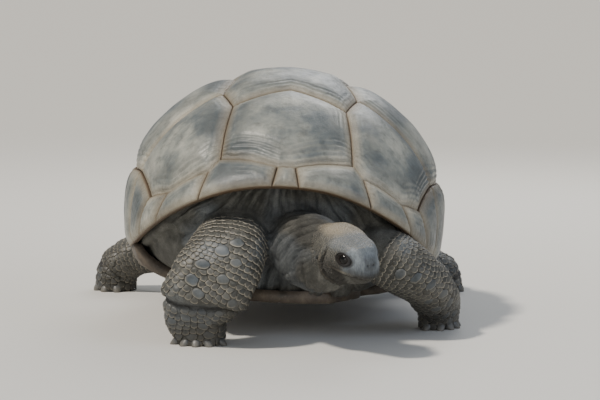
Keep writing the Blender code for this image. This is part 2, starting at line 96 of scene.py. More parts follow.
# Matt emulsion paint on a smooth floor: even, pale and without gloss.
floor_paint, tree, shader = finish("matt_floor_paint")
shader.inputs["Base Color"].default_value = linear("d6d5d0")
shader.inputs["Roughness"].default_value = 0.9
FLOOR = 200.0  # half the floor's width, so that its far edge lies out of the camera's view
corners = [(-FLOOR, -FLOOR, 0), (FLOOR, -FLOOR, 0), (FLOOR, FLOOR, 0), (-FLOOR, FLOOR, 0)]
floor = shown("floor", corners, [[(0, 1, 2, 3)]], floor_paint)

eyes = np.array([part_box("eye_left"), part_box("eye_right")])
BROW_CENTRE = Vector(eyes.reshape(-1, 3).mean(0))  # midway between the eyes
BROW_AT_HOME = Vector((0.1620, -0.660, 0.2255))  # the same, from the point under the shell's middle
SHIFT = BROW_CENTRE - BROW_AT_HOME  # from the animal's own frame to the floor's

AIM = Vector((0.033, 0.0, 0.2815)) + SHIFT
DISTANCE, PITCH, LENS = 5.5, radians(6), 133.3
camera = bpy.data.objects.new("camera", bpy.data.cameras.new("camera"))
camera.data.lens = LENS
camera.location = AIM + DISTANCE * Vector((0, -cos(PITCH), sin(PITCH)))
camera.rotation_euler = (AIM - camera.location).to_track_quat("-Z", "Y").to_euler()
bpy.context.scene.collection.objects.link(camera)
bpy.context.scene.camera = camera

LIT = Vector((0, -0.1, 0.25))  # where every lamp points
LAMPS = {
    # name: (kind, place, width or angle, power, colour)
    "key": ("SUN", (-1.9, -1.0, 3.6), radians(6), 3.3, "fff6ea"),
    "sky_side": ("AREA", (3.0, -2.2, 2.2), 2.6, 34, "d6e4ff"),
    "behind": ("AREA", (0.9, 3.2, 2.9), 2.4, 60, "ffffff"),
    "low_front": ("AREA", (-0.5, -3.8, 0.8), 2.4, 22, "ffffff"),
}
for name, (kind, place, width, power, colour) in LAMPS.items():
    lamp = bpy.data.lights.new(name, kind)
    lamp.energy, lamp.color = power, linear(colour)[:3]
    if kind == "SUN":
        lamp.angle = width
    else:
        lamp.shape, lamp.size = "DISK", width
    held = bpy.data.objects.new(name, lamp)
    held.location = place
    held.rotation_euler = (LIT - held.location).to_track_quat("-Z", "Y").to_euler()
    bpy.context.scene.collection.objects.link(held)
world = bpy.data.worlds.new("studio")
bpy.context.scene.world = world
world.use_nodes = True
background = world.node_tree.nodes["Background"]
background.inputs["Color"].default_value = linear("dfe3e8")
background.inputs["Strength"].default_value = 0.42

# ------------------------------------------------------------------- the carapace's plates
# Broad horny scutes over the domed bone, worn smooth with age and tied to it all over. Each
# is a patch of the dome, swollen in its middle, with growth ridges along its sides and a
# rounded edge at the seams, where a hair's breadth parts it from its neighbours.

HALF_WIDTH, HALF_LENGTH = 0.393, 0.520  # of the dome, at its widest line
TOP, WIDEST, TUCK = 0.609, 0.265, 0.50  # heights of apex and widest line, and the fall below it
SIDE_POWER, TOP_POWER = 1.09, 0.98  # above 1 the sides are leaner, and the crown more pointed
PLATE = 0.022  # a plate's thickness, with the bone that it covers
LEAN, LEAN_HEIGHT, SHELL_X = radians(3.0), 0.25, -0.006  # the shell leans to the animal's left
SHELL_PLACE = (
    Matrix.Translation(SHIFT)
    @ Matrix.Translation((SHELL_X, 0, LEAN_HEIGHT))
    @ Matrix.Rotation(LEAN, 4, "Y")
    @ Matrix.Translation((0, 0, -LEAN_HEIGHT))
)


def moved(points, matrix):
    """Points carried by a 4 x 4 matrix."""
    m = np.array(matrix)
    return points @ m[:3, :3].T + m[:3, 3]


def smooth(t):
    """0 below 0, 1 above 1, and 3t^2 - 2t^3 between."""
    t = np.clip(t, 0, 1)
    return t * t * (3 - 2 * t)


def hashed(i, j, k, seed):
    """A fixed number from -1 to 1 for every whole lattice point: the fraction of a big sine."""
    wave = np.sin(i * 127.1 + j * 311.7 + k * 74.7 + seed * 53.3) * 43758.5453
    return 2 * (wave - np.floor(wave)) - 1


def mottle(points, size, seed=0):
    """Smooth uneven values from -1 to 1: lattice numbers, blended over cells of that size."""
    q = np.asarray(points) / size
    cell = np.floor(q)
    f = smooth(q - cell)
    total = 0
    for corner in range(8):
        step = np.array([corner & 1, corner >> 1 & 1, corner >> 2 & 1])
        weight = np.prod(np.where(step, f, 1 - f), axis=-1)
        total = total + weight * hashed(*np.moveaxis(cell + step, -1, 0), seed)
    return total


def rim_height(phi):
    """Height of the rim: 130 mm, and a bell of 240 mm over the head and a rise of 70 mm behind."""
    a = np.abs(phi)
    arch = 0.240 * np.exp(-((a / radians(56)) ** 2.3))
    return 0.130 + arch + 0.070 * smooth((a - radians(95)) / radians(70))


def rim_reach(phi):
    """Distance of the rim from the apex in the layout plane: the dome's height, solved for it."""
    rise = rim_height(phi) - WIDEST
    above = (np.abs(rise) / (TOP - WIDEST)) ** (1 / TOP_POWER)
    return np.arccos(np.where(rise > 0, above, rise / TUCK)) / (pi / 2)


def dome(across, along):
    """Point of the dome for a place in the layout plane, where the apex is the origin.

    The distance there counts quarter turns down an ellipse, and the angle goes round. The
    point's distance out is the turn's sine and its height the cosine, each to its power,
    and near the rim it flares out, over the head and behind.
    """
    reach, phi = np.hypot(across, along), np.arctan2(across, -along)
    level = np.cos(reach * pi / 2)
    up = np.where(level > 0, (TOP - WIDEST) * np.abs(level) ** TOP_POWER, TUCK * level)
    a = np.abs(phi)
    flare = 0.034 * np.exp(-((a / radians(60)) ** 4)) + 0.020 * smooth((a - radians(120)) / radians(60))
    near_rim = smooth((reach / rim_reach(phi) - 0.80) / 0.20)
    out = np.sin(reach * pi / 2) ** SIDE_POWER + flare * near_rim / 0.45
    return np.stack([HALF_WIDTH * out * np.sin(phi), -HALF_LENGTH * out * np.cos(phi), WIDEST + up], -1)


def dome_normal(across, along):
    """Outward direction of the dome, from two short steps over it."""
    step = 1e-4
    du = dome(across + step, along) - dome(across - step, along)
    dv = dome(across, along + step) - dome(across, along - step)
    n = np.cross(du, dv)
    return n / np.linalg.norm(n, axis=-1, keepdims=True)


def side(points, t):
    """Place at t along a line of points, each stretch of it taking an equal share of t."""
    points = np.asarray(points, float)
    share = np.linspace(0, 1, len(points))
    return np.stack([np.interp(t, share, points[:, k]) for k in (0, 1)], -1)


def patch(near, far, left, right, u, v):
    """Coons patch: the two pairs of sides blended across, less the blend of the corners."""
    bottom, top = side(near, u), side(far, u)
    west, east = side(left, v), side(right, v)
    u, v = u[:, None], v[:, None]
    corners = (
        (1 - u) * (1 - v) * np.asarray(near[0])
        + u * (1 - v) * np.asarray(near[-1])
        + (1 - u) * v * np.asarray(far[0])
        + u * v * np.asarray(far[-1])
    )
    return (1 - v) * bottom + v * top + (1 - u) * west + u * east - corners


def polar(reach, phi):
    """A place in the layout plane, by its distance from the apex and its angle off the front."""
    return (reach * sin(phi), -reach * cos(phi))


def mirrored(points):
    """The same places on the animal's other side."""
    return [(-x, y) for x, y in points]


def grid_faces(columns, rows):
    """Quads between the points of a grid, with the points counted along the columns first."""
    i, j = np.meshgrid(np.arange(columns - 1), np.arange(rows - 1), indexing="ij")
    a = (i + j * columns).ravel()
    return np.stack([a, a + 1, a + 1 + columns, a + columns], -1)


def round_edge(index):
    """The points of a grid's outline, in turn, from a table of their numbers."""
    return np.concatenate([index[0, :-1], index[:-1, -1], index[-1, :0:-1], index[:0:-1, 0]])


def attribute(obj, name, values):
    """Store one number for every point of an object's mesh."""
    layer = obj.data.attributes.new(name, "FLOAT", "POINT")
    layer.data.foreach_set("value", np.asarray(values, np.float32))


FINE = 88  # steps across a large plate
GAP = 0.0009  # between two plates
BULGE = 0.018  # how far the middle of a large plate swells, over a slope of 85 mm
GROOVE_WIDTH, SHOULDER = 0.0030, 0.004  # of the rounded drop at the seam, and its wall's height
RIDGE_PITCH, RIDGE_RISE = 0.0125, 0.0045  # from one growth ridge to the next, and their height


def plate(name, near, far, left, right, ridges, steps=(FINE, FINE), width=0.2, bulge=BULGE,
          slope=0.085):
    """One horny plate: a grid over its patch, a wall down its edge, and a fan that closes it.

    The rise at a point swells with its distance from the seam, over the slope's width, less a
    rounded drop at the edge and the lines of growth that follow each side (near, far, left and
    right) with the given strengths.
    """
    nu, nv = steps
    # Rows stand closer towards the edges: half evenly spaced, half spaced as a cosine is.
    even = [np.linspace(0, 1, n + 1) for n in steps]
    spread = [0.5 * t + 0.5 * (0.5 - 0.5 * np.cos(pi * t)) for t in even]
    u, v = (grid.ravel() for grid in np.meshgrid(*spread))
    inset = GAP / 2 / width
    u, v = inset + (1 - 2 * inset) * u, inset + (1 - 2 * inset) * v
    place = patch(near, far, left, right, u, v)
    base, normal = dome(*place.T), dome_normal(*place.T)
    index = np.arange((nu + 1) * (nv + 1)).reshape(nv + 1, nu + 1)
    sides = [index[0], index[-1], index[:, 0], index[:, -1]]
    far_from = [np.linalg.norm(base[:, None] - base[s][None], axis=-1).min(1) for s in sides]
    seam = np.min(far_from, 0)
    swell = 1 - (1 - np.minimum(1, seam / slope)) ** 2.4
    groove = 0.0014 + 0.0010 * mottle(base, 0.07, 12)
    rise = bulge * (swell - 0.72) - groove * np.exp(-seam / GROOVE_WIDTH)
    uneven = 0.0016 * mottle(base, 0.085, 1) + 0.0006 * mottle(base, 0.03, 2)
    rise = rise + np.minimum(1, seam / 0.03) * uneven
    bent = 0.005 * mottle(base, 0.06, 3) + 0.0012 * mottle(base, 0.018, 4)
    for distance, height in zip(far_from, ridges):
        reach = 0.016 + 0.040 * height
        fade = smooth(seam / 0.006) * (1 - smooth((distance - reach) / 0.028))
        step = (distance + 1.6 * bent) / RIDGE_PITCH
        wave = np.abs(np.cos(step * pi)) ** 3 * (0.70 + 0.55 * mottle(base, 0.05, 10))
        rise = rise - RIDGE_RISE * height * fade * wave
    top = base + rise[:, None] * normal
    border = round_edge(index)
    count, total = len(border), len(top)
    shoulder = top[border] - SHOULDER * normal[border]
    foot = base[border] - PLATE * normal[border]
    middle = (base - PLATE * normal)[index[nv // 2, nu // 2]][None]
    ring = np.arange(count)
    after = (ring + 1) % count
    rings = [border, total + ring, total + count + ring]
    walls = [np.stack([a, b, b[after], a[after]], -1) for a, b in zip(rings, rings[1:])]
    fan = np.stack([rings[2], np.full(count, total + 2 * count), rings[2][after]], -1)
    points = moved(np.vstack([top, shoulder, foot, middle]), SHELL_PLACE)
    horn = shown(f"horn_{name}", points, [grid_faces(nu + 1, nv + 1), *walls, fan], keratin)
    attribute(horn, "seam", np.concatenate([seam, np.zeros(2 * count + 1)]))
    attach(horn, "root")
    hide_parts(name)


def node(tree, kind, settings, output=0):
    """Add a shader node with its settings and links, and give one of its outputs.

    A setting is named by a property, or by an input's name or number. Another node's output
    is linked, a hex code is turned to a colour, and stops are a ramp's places and colours.
    """
    made = tree.nodes.new(f"ShaderNode{kind}")
    for key, value in settings.items():
        if isinstance(value, bpy.types.NodeSocket):
            tree.links.new(value, made.inputs[key])
        elif key == "stops":
            elements = made.color_ramp.elements
            for element, (spot, code) in zip(elements, (value[0], value[-1])):
                element.position, element.color = spot, linear(code)
            for spot, code in value[1:-1]:
                elements.new(spot).color = linear(code)
        elif isinstance(key, str) and hasattr(made, key):
            setattr(made, key, value)
        else:
            made.inputs[key].default_value = linear(value) if isinstance(value, str) else value
    return made.outputs[output]


# Horn of the carapace: keratin grown in thin layers, dry and worn. Grey-tan and a little
# bluish, darker in stains, with paler young growth by the seams and brown in them.
keratin, tree, shader = finish("worn_keratin_plate")
place = node(tree, "TexCoord", {}, "Object")
seam = node(tree, "Attribute", {"attribute_name": "seam"}, "Fac")
broad = node(tree, "TexNoise", {"Scale": 6.5, "Detail": 6.0, "Roughness": 0.62, "Vector": place})
cloud = node(tree, "TexNoise", {"Scale": 38.0, "Detail": 6.0, "Roughness": 0.7, "Vector": place})
grain = node(tree, "TexNoise", {"Scale": 330.0, "Detail": 3.0, "Vector": place})
# Streaks run down the plates, 4 mm apart.
stretched = node(tree, "Mapping", {"Scale": (1.0, 1.0, 0.18), "Vector": place})
streak = node(tree, "TexNoise", {"Scale": 120.0, "Detail": 4.0, "Roughness": 0.6, "Vector": stretched})
wander = node(tree, "Math", {"operation": "MULTIPLY_ADD", 0: cloud, 1: 0.020, 2: seam})
much = {
    name: node(tree, "MapRange", dict(enumerate(row)))
    for name, row in {
        # each follows a value, and goes from one range of it to another of its own
        "stains": (cloud, 0.50, 0.72, 0.0, 0.55),
        "streaks": (streak, 0.52, 0.75, 0.0, 0.35),
        "from the seam": (wander, 0.0, 0.12, 0.0, 1.0),
        "young horn": (wander, 0.013, 0.036, 0.62, 0.0),
        "layer turns": (wander, 0.0, 0.08, 0.0, 200.0),
        "seam": (seam, 0.0012, 0.0060, 0.75, 0.0),
        "seam bottom": (seam, 0.0003, 0.0018, 0.8, 0.0),
        "dullness": (cloud, 0.3, 0.7, 0.28, 0.52),
    }.items()
}
# Layers of growth, 2.5 mm apart, that show in the young horn alone.
layer = node(tree, "Math", {"operation": "SINE", 0: much["layer turns"]})
layer = node(tree, "Math", {"operation": "MULTIPLY", 0: layer, 1: much["young horn"]})
between_layers = node(tree, "MapRange", dict(enumerate((layer, 0.10, 0.50, 0.0, 0.45))))
ring_stops = [(0.24, "000000"), (0.42, "b0b0b0"), (0.75, "000000")]
worn_ring = node(tree, "ValToRGB", {"Fac": much["from the seam"], "stops": ring_stops})
young_horn = node(tree, "ValToRGB", {"Fac": broad, "stops": [(0.35, "857a67"), (0.65, "aca088")]})
hue = node(tree, "ValToRGB", {
    "Fac": broad, "stops": [(0.32, "3e474a"), (0.44, "62696a"), (0.54, "898c85"), (0.68, "b5b4a9")]})
for amount, colour in (
    (much["stains"], "3b3d3b"),
    (much["streaks"], "58574f"),
    (worn_ring, "4b4f4e"),
    (much["young horn"], young_horn),
    (between_layers, "5e5344"),
    (much["seam"], "766953"),
    (much["seam bottom"], "5a4735"),
):
    hue = node(tree, "Mix", {"data_type": "RGBA", 0: amount, 6: hue, 7: colour}, 2)
wear = node(tree, "Math", {"operation": "ADD", 0: cloud, 1: grain})
wear = node(tree, "Math", {"operation": "ADD", 0: wear, 1: streak})
heights = node(tree, "Math", {"operation": "MULTIPLY_ADD", 0: layer, 1: 0.7, 2: wear})
bump = node(tree, "Bump", {"Strength": 0.55, "Distance": 0.0012, "Height": heights})
for socket, source in (("Base Color", hue), ("Roughness", much["dullness"]), ("Normal", bump)):
    tree.links.new(source, shader.inputs[socket])

# Corners of the plates in the layout plane: where the five vertebral plates meet each other,
# where they meet the costals, and the groove round the shell above the marginals.
FRONT_CORNER = (0.322, -0.643)
SEAM_ENDS = [(0.252, -0.355), (0.250, 0.0), (0.235, 0.273), (0.150, 0.506)]
SEAM_MIDDLES = [(0, -0.282), (0, 0.030), (0, 0.263), (0, 0.476)]
SIDE_CORNERS = [(0.300, -0.212), (0.300, 0.141), (0.270, 0.400)]
NUCHAL_TOP = radians(3.2)
RIM_ANGLES = [radians(d) for d in (4.4, 29, 47, 59, 68, 82.5, 96, 110, 124, 137, 151, 167)]
GROOVE = [polar(0.722, NUCHAL_TOP), (0.375, -0.674), (0.620, -0.638), (0.757, -0.538), (0.790, -0.290)]
GROOVE += [polar(r, a) for r, a in zip((0.85, 0.86, 0.86, 0.86, 0.85, 0.83, 0.81), RIM_ANGLES[5:])]

VERTEBRAL_RIDGES = [(1.0, 0.15, 0.3, 0.3)] + 4 * [(0.35, 0.25, 0.3, 0.3)]
middle = [GROOVE[0], FRONT_CORNER]
rows = [[*mirrored(middle[::-1]), *middle]]
rows += [[*mirrored([end]), centre, end] for end, centre in zip(SEAM_ENDS, SEAM_MIDDLES)]
rows += [[*mirrored(GROOVE[10:]), *GROOVE[:9:-1]]]
for number, (near, far) in enumerate(zip(rows, rows[1:])):
    corner = SIDE_CORNERS[number - 1 : number] if number in (1, 2, 3) else []
    right = [near[-1], *corner, far[-1]]
    plate(f"vertebral_{number + 1}", near, far, mirrored(right), right, ridges=VERTEBRAL_RIDGES[number])


def both_plates(name, near, far, left, right, ridges, **sizes):
    """A plate on the animal's left, and its mirror image on the right."""
    plate(name.format("left"), near, far, left, right, ridges=ridges, **sizes)
    turned = [mirrored(line[::-1]) for line in (near, far)]
    swapped = (*ridges[:2], ridges[3], ridges[2])
    plate(name.format("right"), *turned, mirrored(right), mirrored(left), ridges=swapped, **sizes)


COSTAL_RIDGES = [(0.9, 0.2, 0.2, 0.7)] + 3 * [(0.35, 0.3, 0.2, 0.7)]
fronts = [[SIDE_CORNERS[k], GROOVE[2 * k + 4]] for k in range(3)]
rows = [[FRONT_CORNER, *GROOVE[1:4]], *fronts, [SEAM_ENDS[3], GROOVE[10]]]
inner = [[FRONT_CORNER, SEAM_ENDS[0], SIDE_CORNERS[0]]]
inner += [[SIDE_CORNERS[k], SEAM_ENDS[k + 1], SIDE_CORNERS[k + 1]] for k in range(2)]
inner += [[SIDE_CORNERS[2], SEAM_ENDS[3]]]
outer = [GROOVE[3:5], GROOVE[4:7], GROOVE[6:9], GROOVE[8:11]]
for number, sides in enumerate(zip(rows, rows[1:], inner, outer)):
    both_plates(f"costal_{{}}_{number + 1}", *sides, ridges=COSTAL_RIDGES[number])


def rim_line(start, end):
    """Nine places along the rim, from one angle to another."""
    return [polar(float(rim_reach(a)), a) for a in np.linspace(start, end, 9)]


edge_sizes = {"steps": (34, 28), "width": 0.12, "bulge": 0.011, "slope": 0.045}
top = [*mirrored(GROOVE[:1]), GROOVE[0]]
edge = rim_line(-RIM_ANGLES[0], RIM_ANGLES[0])
ends = [[edge[0], top[0]], [edge[-1], top[-1]]]
plate("nuchal", edge, top, *ends, steps=(18, 28), width=0.05, bulge=0.010, slope=0.030,
      ridges=(0.1, 0.1, 0.4, 0.4))
for number in range(11):
    edge = rim_line(*RIM_ANGLES[number : number + 2])
    top = GROOVE[number : number + 2]
    if number == 0:
        top = [top[0], FRONT_CORNER, top[1]]
    ends = [[edge[0], top[0]], [edge[-1], top[-1]]]
    name = f"marginal_{{}}_{number + 1}"
    both_plates(name, edge, top, *ends, ridges=(0.15, 0.45, 0.30, 0.30), **edge_sizes)
edge = rim_line(RIM_ANGLES[-1], 2 * pi - RIM_ANGLES[-1])
top = [GROOVE[-1], *mirrored(GROOVE[-1:])]
ends = [[edge[0], top[0]], [edge[-1], top[-1]]]
plate("supracaudal", edge, top, *ends, ridges=(0.3, 0.5, 0.3, 0.3), **edge_sizes)

# ------------------------------------------------------------------------------ plastron
# The flat shield under the body, of the same horn over bone. It grows together with the rim
# of the carapace by a bridge on each side, between the fore and the hind legs.

BELLY, BELLY_PLATE = 0.085, 0.018  # height of the underside, and the plate's thickness
BELLY_FRONT, BELLY_REAR = -0.405, 0.420
BRIDGE_FROM = 0.190  # the distance from the midline where it starts to rise to the rim
BRIDGE_FULL, BRIDGE_END = 0.165, 0.235  # it is whole as far along as one, and ends at the other
SEAM = 0.0016  # between the bridge and the rim


def side_wall(along):
    """Distance from the midline, and height, of the rim above a place along the body."""
    phi = np.arccos(np.clip(-along / (HALF_LENGTH * 0.975), -0.98, 0.98))
    return HALF_WIDTH * np.sin(rim_reach(phi) * pi / 2) ** SIDE_POWER * np.sin(phi), rim_height(phi)


def belly_height(distance, along, lift=0.0):
    """Height of the underside: flat in the middle, then a quarter ellipse up to the rim."""
    wall, top = side_wall(along)
    t = np.clip((distance - BRIDGE_FROM) / (wall - BRIDGE_FROM), 0, 1)
    start = BELLY + lift
    return start + (top - SEAM - start) * (1 - np.sqrt(1 - t * t))


def belly_half_width(along):
    """Half the plastron's width: a lobe fore and aft, and a bridge out to the rim between."""
    fore, aft = smooth((along - BELLY_FRONT) / 0.05), smooth((BELLY_REAR - along) / 0.06)
    lobe = np.where(along < 0, 0.105 + 0.015 * fore, 0.085 + 0.025 * aft)
    lobe = lobe + (BRIDGE_FROM - lobe) * (1 - smooth((np.abs(along) - 0.24) / 0.15))
    whole = 1 - smooth((np.abs(along) - BRIDGE_FULL) / (BRIDGE_END - BRIDGE_FULL))
    wall, _ = side_wall(along)
    return lobe + (wall - 0.001 - lobe) * whole, whole


# Horn of the plastron: the same keratin, but earth-stained and dull, and scratched lengthways
# by the ground.
belly_horn, tree, shader = finish("earth_stained_keratin")
place = node(tree, "TexCoord", {}, "Object")
seam = node(tree, "Attribute", {"attribute_name": "seam"}, "Fac")
cloud = node(tree, "TexNoise", {"Scale": 26.0, "Detail": 7.0, "Roughness": 0.65, "Vector": place})
lengthways = node(tree, "Mapping", {"Scale": (1.0, 0.12, 1.0), "Vector": place})
scratch = node(tree, "TexNoise", {"Scale": 300.0, "Detail": 3.0, "Vector": lengthways})
scratches, in_seam, dullness = (
    node(tree, "MapRange", dict(enumerate(row)))
    for row in (
        (scratch, 0.55, 0.75, 0.0, 0.35),
        (seam, 0.0006, 0.0040, 0.9, 0.0),
        (cloud, 0.3, 0.7, 0.50, 0.74),
    )
)
stops = [(0.30, "3b352e"), (0.50, "564d43"), (0.72, "756a5b")]
hue = node(tree, "ValToRGB", {"Fac": cloud, "stops": stops})
for amount, colour in ((scratches, "857a69"), (in_seam, "241c16")):
    hue = node(tree, "Mix", {"data_type": "RGBA", 0: amount, 6: hue, 7: colour}, 2)
heights = node(tree, "Math", {"operation": "ADD", 0: cloud, 1: scratch})
bump = node(tree, "Bump", {"Strength": 0.5, "Distance": 0.0010, "Height": heights})
for socket, source in (("Base Color", hue), ("Roughness", dullness), ("Normal", bump)):
    tree.links.new(source, shader.inputs[socket])

columns, lengths = 49, 97
v, u = np.meshgrid(np.linspace(0, 1, lengths), np.linspace(0, 1, columns), indexing="ij")
v, u = v.ravel(), u.ravel()
across, along = 2 * u - 1, BELLY_FRONT + (BELLY_REAR - BELLY_FRONT) * v
along = np.where(v < 0.5, along + 0.03 * across**2 * (1 - v) ** 8, along)
along = np.where(v > 0.5, along - 0.05 * (1 - np.abs(across)) * v**10, along)
half, whole = belly_half_width(along)
cross_seams = np.array([-0.300, -0.215, -0.030, 0.165, 0.290])  # between the pairs of shields
seam = np.minimum(np.abs(across) * half, np.abs(along[:, None] - cross_seams).min(1))
under_rim = whole * smooth((np.abs(across) - 0.93) / 0.07)
thick_edge = (1 - whole) * np.maximum(smooth((np.abs(across) - 0.75) / 0.2), smooth((0.05 - v) / 0.05))
layers = []
for w in (0, 1):
    x = across * (half - BELLY_PLATE * whole * w)
    z = belly_height(np.abs(across) * half, along, BELLY_PLATE * w)
    z = z + (1 - w) * 0.0016 * np.exp(-((seam / 0.0025) ** 2))
    # The bridge's edge goes up behind the rim; elsewhere the plate is thickest at its edge.
    x = x - np.sign(across) * 0.006 * under_rim
    z = z + 0.013 * under_rim + w * 0.011 * thick_edge
    layers.append(np.stack([x, along, z], -1))
lower = grid_faces(columns, lengths)
index = np.arange(columns * lengths).reshape(lengths, columns)
border = round_edge(index)
after = np.roll(border, -1)
size = columns * lengths
wall = np.stack([border, after, after + size, border + size], -1)
points = moved(np.vstack(layers), SHELL_PLACE)
horn_plastron = shown("horn_plastron", points, [lower[:, ::-1], lower + size, wall], belly_horn)
attribute(horn_plastron, "seam", np.concatenate([seam, np.full(size, 0.03)]))
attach(horn_plastron, "root")
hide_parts("plastron")

# ------------------------------------------------------------------------------ the skin
# One loose hide over neck, head, legs, tail and the soft trunk inside the shell, which it is
# grown to. Each limb is a smooth tube carried along its curve, and the hide is the surface
# where their blended distances are nil, with folds, lids, lips and nostrils pressed into it.

ALOFT = Matrix.Translation(SHIFT)
# The head's own frame: origin between the eyes, x to the beak, y to its left, z up.
HEAD_TURN, HEAD_DROP, HEAD_TILT = radians(32), radians(14), radians(4)
HEAD = (
    Matrix.Translation(BROW_CENTRE)
    @ Matrix.Rotation(HEAD_TURN - pi / 2, 4, "Z")
    @ Matrix.Rotation(HEAD_DROP, 4, "Y")
    @ Matrix.Rotation(HEAD_TILT, 4, "X")
)
LIMBS = {
    # name: place, across, squareness, blend with the trunk, and stations of
    # x, y, z, half width, and the reach of the two faces
    "foreleg_right": (ALOFT, (0.97, -0.22, 0), 2.4, 0.030, [
        (-0.120, -0.290, 0.215, 0.070, 0.065, 0.065), (-0.118, -0.400, 0.240, 0.076, 0.066, 0.066),
        (-0.130, -0.468, 0.218, 0.088, 0.062, 0.060), (-0.152, -0.495, 0.172, 0.096, 0.054, 0.058),
        (-0.185, -0.492, 0.122, 0.091, 0.048, 0.052), (-0.202, -0.472, 0.070, 0.077, 0.046, 0.046),
        (-0.196, -0.460, 0.024, 0.060, 0.044, 0.042), (-0.196, -0.458, -0.020, 0.056, 0.040, 0.038)]),
    "foreleg_left": (ALOFT, (0.62, 0.78, 0), 2.4, 0.030, [
        (0.150, -0.290, 0.195, 0.062, 0.066, 0.060), (0.203, -0.380, 0.196, 0.064, 0.070, 0.060),
        (0.258, -0.398, 0.170, 0.060, 0.072, 0.058), (0.310, -0.356, 0.132, 0.055, 0.066, 0.052),
        (0.346, -0.292, 0.092, 0.053, 0.054, 0.048), (0.362, -0.247, 0.058, 0.054, 0.044, 0.042),
        (0.363, -0.230, 0.022, 0.054, 0.041, 0.040), (0.363, -0.228, -0.020, 0.052, 0.038, 0.038)]),
    "hindleg_right": (ALOFT, (0.30, -0.95, 0), 2.4, 0.030, [
        (-0.150, 0.275, 0.190, 0.052, 0.052, 0.052), (-0.235, 0.330, 0.146, 0.066, 0.043, 0.052),
        (-0.325, 0.366, 0.108, 0.067, 0.043, 0.052), (-0.405, 0.387, 0.090, 0.063, 0.054, 0.050),
        (-0.448, 0.400, 0.056, 0.056, 0.054, 0.052), (-0.456, 0.402, 0.020, 0.056, 0.054, 0.052),
        (-0.456, 0.402, -0.020, 0.054, 0.052, 0.050)]),
    "hindleg_left": (ALOFT, (0.30, 0.95, 0), 2.4, 0.030, [
        (0.150, 0.275, 0.182, 0.052, 0.050, 0.048), (0.225, 0.330, 0.122, 0.064, 0.038, 0.048),
        (0.300, 0.358, 0.080, 0.065, 0.038, 0.040), (0.365, 0.370, 0.070, 0.062, 0.046, 0.044),
        (0.402, 0.380, 0.046, 0.054, 0.050, 0.048), (0.410, 0.382, 0.018, 0.054, 0.052, 0.050),
        (0.410, 0.382, -0.020, 0.052, 0.050, 0.048)]),
    "tail": (ALOFT, (-0.94, 0.34, 0), 2.0, 0.020, [
        (0.010, 0.360, 0.205, 0.036, 0.030, 0.030), (0.020, 0.440, 0.180, 0.036, 0.029, 0.029),
        (0.045, 0.495, 0.140, 0.030, 0.024, 0.024), (0.085, 0.525, 0.112, 0.020, 0.017, 0.017),
        (0.120, 0.530, 0.100, 0.009, 0.009, 0.009)]),
    "neck": (ALOFT, (-1, 0, 0), 2.0, 0.030, [
        (0.020, -0.300, 0.205, 0.072, 0.078, 0.080), (0.030, -0.400, 0.215, 0.072, 0.082, 0.088),
        (0.050, -0.480, 0.218, 0.074, 0.086, 0.086), (0.080, -0.545, 0.216, 0.066, 0.086, 0.080),
        (0.110, -0.590, 0.210, 0.052, 0.072, 0.060), (0.134, -0.622, 0.202, 0.026, 0.044, 0.030)]),
    "head": (HEAD, (0, -1, 0), 2.3, 0.014, [
        (-0.122, 0, -0.006, 0.046, 0.046, 0.044), (-0.102, 0, -0.008, 0.058, 0.057, 0.054),
        (-0.072, 0, -0.010, 0.063, 0.062, 0.057), (-0.042, 0, -0.012, 0.059, 0.062, 0.057),
        (-0.012, 0, -0.012, 0.050, 0.055, 0.054), (0.014, 0, -0.012, 0.042, 0.046, 0.048),
        (0.033, 0, -0.014, 0.034, 0.037, 0.040), (0.043, 0, -0.017, 0.0265, 0.029, 0.032),
        (0.048, 0, -0.018, 0.0190, 0.022, 0.023), (0.050, 0, -0.019, 0.0125, 0.015, 0.015)]),
}
COAT_DEPTH = 0.0012  # the hide lies this far inside the solid outline, below its scales
SAMPLES = 72  # along each limb's curve
TUBE_END = 0.006  # how far the last section is rounded off past its station


def along_curve(stations, t):
    """Smooth values through the stations, at t from 0 to 1 (a Catmull-Rom curve)."""
    stations = np.asarray(stations, float)
    last = len(stations) - 1
    place = np.clip(t, 0, 1) * last
    k = np.minimum(place.astype(int), last - 1)
    f = (place - k)[:, None]
    padded = np.vstack([2 * stations[0] - stations[1], stations, 2 * stations[-1] - stations[-2]])
    a, b, c, d = (padded[k + n] for n in range(4))
    return b + 0.5 * f * (c - a + f * (2 * a - 5 * b + 4 * c - d + f * (3 * (b - c) + d - a)))


def unit(vectors):
    """The same directions, a metre long."""
    return vectors / np.linalg.norm(vectors, axis=-1, keepdims=True)


# A limb's table has a row for each sample: its place, the directions ahead, across and up,
# its half width, and the reach of its two faces.
TUBES = {}
for name, (place, across, power, blend, stations) in LIMBS.items():
    t = np.linspace(0, 1, SAMPLES)
    row = along_curve(stations, t)
    after, before = (along_curve(stations, t + step)[:, :3] for step in (0.01, -0.01))
    ahead = unit(after - before)
    across = np.asarray(across, float)
    width = unit(across - (ahead @ across)[:, None] * ahead)
    turn = np.array(place)[:3, :3].T
    frames = [moved(row[:, :3], place), ahead @ turn, width @ turn, np.cross(width, ahead) @ turn]
    TUBES[name] = (np.hstack([*frames, row[:, 3:6]]), power, blend)


def section(rows, place):
    """The rows of a limb's table at places between its samples, in straight lines."""
    low = np.minimum(place.astype(int), SAMPLES - 2)
    f = (place - low)[:, None]
    return rows[low] * (1 - f) + rows[low + 1] * f


